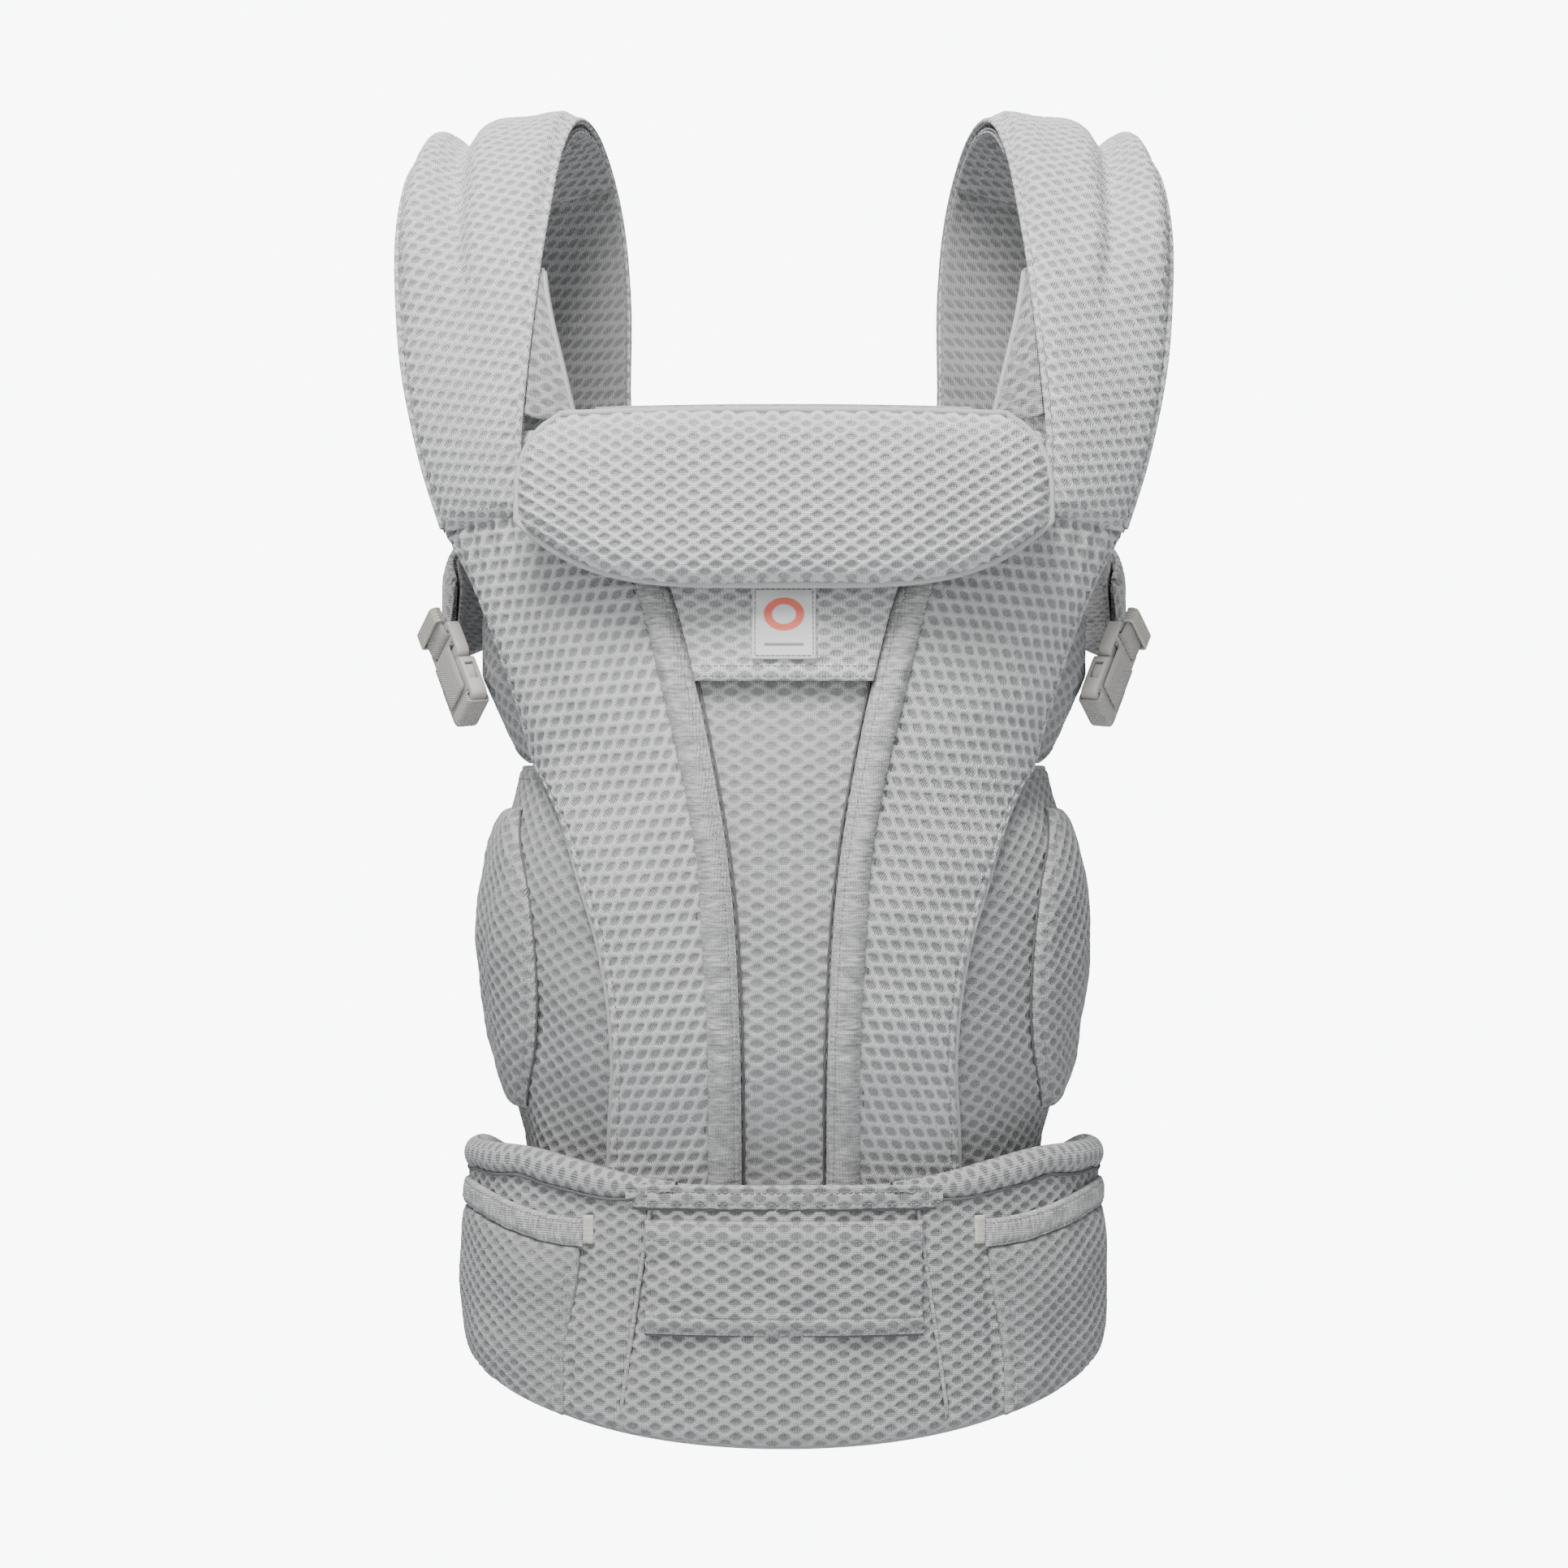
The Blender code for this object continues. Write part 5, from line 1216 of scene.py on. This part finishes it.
for sideName, sideSign in bothSides:
    makeStrap(sideName, sideSign)
    makeStrapLining(sideName, sideSign)
    makeChestRail(sideName, sideSign)
    makeGusset(sideName, sideSign)
makeHeadSupport()
print("straps and head support done")


# webbing, drawn as a line in its buckle's own frame: Y along the webbing and Z outward
webThick = 0.0013


def buckleFrame(centre, up, out):
    y = unit(np.array(up, float))
    z = unit(np.array(out, float) - y * np.dot(out, y))
    return np.array(centre, float), np.cross(y, z), y, z


def roundedLine(corners, radius, step=0.0009):
    points = [np.array(corners[0], float)]
    for before, at, after in zip(corners, corners[1:], corners[2:]):
        before, at, after = (np.array(p, float) for p in (before, at, after))
        start, end = at + unit(before - at) * radius, at + unit(after - at) * radius
        for t in np.linspace(0, 1, 6):
            points.append((start * (1 - t) + at * t) * (1 - t) + (at * (1 - t) + end * t) * t)
    points.append(np.array(corners[-1], float))
    points = np.array(points)
    along = runLength(points)
    places = np.linspace(0, along[-1], tidyCount(along[-1], step, 2))
    return np.stack([np.interp(places, along, points[:, k]) for k in range(2)], -1)


def webbing(name, corners, width, place, body, finish, nodes=(), radius=0.0012, squashed=None):
    centre, x, y, z = place
    line = roundedLine(corners, radius)
    run = unit(np.gradient(line, axis=0))
    across = np.linspace(-width / 2, width / 2, 17)
    flat = (centre + x * across[None, :, None] + y * line[:, None, :1] + z * line[:, None, 1:])
    normal = np.broadcast_to((y * -run[:, 1:] + z * run[:, :1])[:, None], flat.shape)
    rim = np.minimum(across + width / 2, width / 2 - across)[None]
    thick = webThick / 2 * (0.35 + 0.65 * roll(rim, 0.0008)) + 0 * line[:, :1]
    v = runLength(line)
    u, v = np.broadcast_arrays(across[None], v[:, None])
    obj = quilt(name, 1, flat, normal, thick, -thick, (u, v), finish, nodes, body=body, coarse=2)
    if squashed:
        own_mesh(obj)


def keeper(name, place, at, lift, width, body):    # elastic loop that holds the webbing's tail
    centre, x, y, z = place
    half, high, corner = width / 2 + 0.0010, 0.0026, 0.0020
    outline = [(half, 0), (half, high), (-half, high), (-half, -high), (half, -high), (half, 0.0001)]
    loop = roundedLine(outline, corner, 0.0012)
    path = centre + x * loop[:, :1] + y * at + z * (loop[:, 1:] + lift)
    parts = [tube(path + y * k, 0.0011, 6, 1.0, y) for k in np.linspace(-0.0040, 0.0040, 5)]
    return joined(name, parts, "elastic", body=body)


buckle = {"socket": 0.0290, "endBar": 0.0033, "slot": 0.0036, "first": 0.0098, "second": 0.0168,
          "bodyDeep": 0.0094, "plugDeep": 0.0074, "bevel": 0.0007}


def socketLine(k, extra=0.0):    # webbing that turns round the socket's end bar
    clear = buckle["bodyDeep"] * k ** 0.6 / 2 + 0.0014
    slot = (-buckle["socket"] + buckle["endBar"] + buckle["slot"] / 2) * k
    end = -buckle["socket"] * k - 0.0016
    return [(slot + 0.0080, -clear), (end - extra, -clear), (end, clear), (slot, clear),
            (slot, 0.0016 - clear)]


def ladderLine(k, reach, tail, drop=0.0020):    # in through the plug's outer slot, back through the inner one
    rest = buckle["plugDeep"] * k ** 0.6 / 2 + 0.0011
    over = buckle["bodyDeep"] * k ** 0.6 / 2 + 0.0016
    inner, outer = buckle["first"] * k, buckle["second"] * k
    return [(reach, rest + drop), (outer, rest), (outer, 0), (outer, -rest), (inner, -rest), (inner, over),
            (tail, over)]


def makeSideWebs(name, side):
    flip = np.array((side, 1, 1))
    place = buckleFrame(np.array((0.1865, -0.0170, 0.3560)) * flip, np.array((0.33, 0.47, 0.80)) * flip,
                        np.array((0.90, -0.42, 0.0)) * flip)
    along = place[2]
    loop = {"joint": name + "_buckle_release", "axis": tuple(-along),
            "anchor": tuple(place[0] + along * -0.0600), "keep": 0.32}
    webbing(name + "_socket_webbing", socketLine(1), 0.025, place, "carrier", "web25",
            (name + "_socket_web",), squashed=loop)
    webbing(name + "_strap_webbing", ladderLine(1, 0.0345, -0.0200), 0.025, place, "carrier", "web25",
                               (name + "_strap_web",))
    keeper(name + "_strap_keeper", place, 0.0300, buckle["plugDeep"] / 2 + 0.0026, 0.025, "carrier")


def makeChestWebs():
    chest = (0, 0.1329, 0.496)
    place = buckleFrame(chest, (1, 0, 0), (0, 1, 0))
    clear = buckle["bodyDeep"] / 2 + 0.0014
    slot = -buckle["socket"] + buckle["endBar"] + buckle["slot"] / 2
    start = 0.0865
    webbing("chest_left_webbing", [(-start, 0), (-0.0420, clear), (slot, clear), (slot, 0.0016 - clear)],
            0.025, place, "chest_strap", "web25", ("chest_left_web",),
            squashed={"joint": "chest_buckle_release", "axis": (-1, 0, 0), "anchor": (-0.0890, *chest[1:]),
                      "keep": 0.67})
    webbing("chest_right_webbing", ladderLine(1, start, -0.0200), 0.025, place, "chest_strap", "web25",
            ("chest_right_web",))
    keeper("chest_keeper", place, 0.0480, buckle["plugDeep"] / 2 + 0.0030, 0.025, "chest_strap")


def makeWaistWebs():
    k = 38 / 25
    place = buckleFrame((0, 0.135542, 0.040), (1, 0, 0), (0, 1, 0))
    loop = {"joint": "waist_buckle_release", "axis": (1, 0, 0), "anchor": (-0.125, 0.10, 0.04), "keep": 0.62}
    for name, side, last in (("left", -1, 165.2), ("right", 1, 167.3)):
        _, z, flat, normal = beltGrid(112, last, 0.021, 0.059, 33, 161)
        rim, sides = edgeDistance(flat)
        thick = webThick * (0.35 + 0.65 * roll(rim, 0.0009))
        cross = [([0.10, 0.90], [0.02, 0.26]), ([0.90, 0.10], [0.02, 0.26])]    # box stitch at the fixed end
        web = quilt(name + "_waist_webbing", side, flat, normal, belt["out"] + 0.0004 + thick, belt["out"]
                    + 0.0004, (z - 0.040, sides[0]), "web38", (name + "_waist_web",), seams=()
                    if side < 0 else cross)
        if side < 0:
            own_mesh(web)
        angles = np.linspace(112.5, 126, 60)
        for z in (0.0235, 0.0565):
            sewBelt("carrier", angles, z, belt["out"] + 0.0016, side)
    line = socketLine(k)
    line[0] = (-0.0520, -0.0022)
    line = [(-0.0560, -0.0038), (line[1][0], -0.0030)] + line[2:]
    webbing("waist_socket_webbing", line, 0.038, place, "carrier", "web38", squashed=loop)
    webbing("waist_tail_webbing", [(0.0520, -0.0030), (0.0420, 0.0030)] + ladderLine(k, 0.0400, -0.0340)[1:],
            0.038, place, "carrier", "web38")


def makeLumbar():
    rows, columns = 21, 33
    angle, z, flat, normal = beltGrid(146, 214, lambda a: -0.016 + 0.00002 * (a - 180) ** 2,
                                      lambda a: 0.094 - 0.00002 * (a - 180) ** 2, rows, columns)
    rim, sides = edgeDistance(flat)
    thick = 0.0065
    outer = flat + normal * (thick * (0.40 + 0.52 * roll(rim, 0.014)))[..., None]
    inner = flat + normal * (thick * 0.40 * (1 - roll(rim, 0.012)))[..., None]
    edge = border(rim.shape)
    held = edge | (np.abs(z - 0.040) < 0.024)    # the belt's webbing keeps its middle flat
    outer, inner = swell("lumbar", outer, inner, (held, edge | (rim > 0.01)), 2.0, 0.0020)
    rows, columns = 81, 137
    outer, inner = resample(outer, rows, columns), resample(inner, rows, columns)
    rim, sides = edgeDistance(outer)
    u, v = sides[0] - sides[0][:, -1:] / 2, sides[2]
    relief = -0.0010 * dimple(u, v) * roll(rim, 0.008) - 0.0008 * bell(rim - 0.008, 0.0013)
    wide, tall = [0.06, 0.94], [0.08, 0.92]
    quilt("lumbar_cushion", 1, outer, normals(outer), relief, 0, (u, v), "mesh", ("lumbar_pad",),
          innerGrid=inner, seams=[(0.075, wide), (0.925, wide), (tall, 0.05), (tall, 0.95)])
    cords("lumbar_binding", [edgeLoop((outer + inner) / 2, 2)], 0.0016, "binding", hint=(0, 1, 0))
    parts = []    # loops that hold the pad on the belt's webbing
    for angle in (152, 208):
        for k in np.linspace(-2.4, 2.4, 7):
            z = np.array([0.0185, 0.0185, 0.0210, 0.0300, 0.0500, 0.0590, 0.0615, 0.0615])
            lift = np.array([0.0060, 0.0130, 0.0155, 0.0158, 0.0158, 0.0155, 0.0130, 0.0060])
            fine = np.linspace(0, 7, 43)
            parts.append(tube(onBelt(angle + k, np.interp(fine, range(8), z),
                                     np.interp(fine, range(8), lift)), 0.0011, 6, 1.0, (1, 0, 0)))
    joined("lumbar_loops", parts, "elastic")


for sideName, sideSign in bothSides:
    makeSideWebs(sideName, sideSign)
makeChestWebs()
makeWaistWebs()
makeLumbar()
print("webbing and lumbar pad done")


# buckles and sliders: the frame's shapes with moulded edges
def moulding(node, body, bevel):
    obj = bpy.data.objects.new(node + "_moulding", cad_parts[node].data.copy())
    bpy.context.scene.collection.objects.link(obj)
    bpy.ops.object.select_all(action="DESELECT")
    obj.select_set(True)
    bpy.context.view_layer.objects.active = obj
    bpy.ops.object.mode_set(mode="EDIT")
    bpy.ops.mesh.select_all(action="SELECT")
    bpy.ops.mesh.remove_doubles(threshold=0.00001)
    bpy.ops.mesh.dissolve_limited(angle_limit=math.radians(1.5))
    bpy.ops.mesh.select_all(action="DESELECT")
    bpy.ops.object.mode_set(mode="OBJECT")
    rounding = obj.modifiers.new("rounding", "BEVEL")
    rounding.width, rounding.segments, rounding.limit_method = bevel, 3, "ANGLE"
    rounding.angle_limit = math.radians(32)
    bpy.ops.object.modifier_apply(modifier="rounding")
    bpy.ops.object.shade_smooth_by_angle(angle=math.radians(38))
    return finishPiece(obj, "plastic", (node,), body)


for name, plugBody in (("left_buckle", "carrier"), ("right_buckle", "carrier"),
                       ("chest_buckle", "chest_strap"), ("waist_buckle", "carrier")):
    moulding(name + "_plug", plugBody, buckle["bevel"])
    moulding(name + "_socket", name + "_socket", buckle["bevel"])
    for end in ("left", "right"):
        moulding(f"{name}_{end}_arm", f"{name}_{end}_arm", 0.0005)
for sideName in ("left", "right"):
    moulding(sideName + "_chest_slider", "chest_strap", 0.0007)
makeStitches()
print("buckles and stitches done")


# studio: pale backdrop, soft light from above and in front
studio = {"backdrop": (0.93, 0.95, 0.98), "glow": 8.6, "world": (0.92, 0.95, 1.0), "worldStrength": 0.36,
          "camera": (0.0, -2.75, 0.291), "lens": 110.1}


def plane(name, size, centre, turn, glow=0.0):
    half = size / 2
    corners = [Matrix.Rotation(math.radians(turn), 3, "X") @ Vector(c) + Vector(centre)
               for c in ((-half, -half, 0), (half, -half, 0), (half, half, 0), (-half, half, 0))]
    obj = meshObject(name, np.array(corners), [np.array([[0, 1, 2, 3]]), np.zeros((0, 3), int)])
    f = Finish(name)
    obj.data.materials.append(f.output(color=(*studio["backdrop"], 1), roughness=0.9, glow=glow,
                                       emission=(*studio["backdrop"], 1)))
    obj.visible_diffuse = obj.visible_glossy = glow == 0    # a glowing backdrop lights nothing but itself


plane("backdrop", 9.0, (0, 2.4, 1.5), 90, studio["glow"])
plane("floor", 9.0, (0, 0, -0.85), 0)


def light(name, size, place, power, aim=(0, 0, 0.25)):
    lamp = bpy.data.lights.new(name, "AREA")
    lamp.size, lamp.energy = size, power
    obj = bpy.data.objects.new(name, lamp)
    bpy.context.scene.collection.objects.link(obj)
    obj.location = place
    obj.rotation_euler = (Vector(aim) - Vector(place)).to_track_quat("-Z", "Y").to_euler()


light("top_soft", 0.9, (-0.30, -1.25, 2.1), 92)
light("front_soft", 1.4, (-0.5, -2.6, 1.2), 18)
light("fill", 1.8, (1.2, -2.4, 0.5), 8)
light("behind", 1.6, (0.0, 1.6, 1.4), 12)
world = bpy.data.worlds.new("studio")
bpy.context.scene.world = world
world.use_nodes = True
world.node_tree.nodes["Background"].inputs[0].default_value = (*studio["world"], 1)
world.node_tree.nodes["Background"].inputs[1].default_value = studio["worldStrength"]
camera = bpy.data.objects.new("camera", bpy.data.cameras.new("camera"))
camera.data.lens, camera.data.sensor_width = studio["lens"], 36
camera.location, camera.rotation_euler = studio["camera"], (math.radians(90), 0, 0)
bpy.context.scene.collection.objects.link(camera)
bpy.context.scene.camera = camera
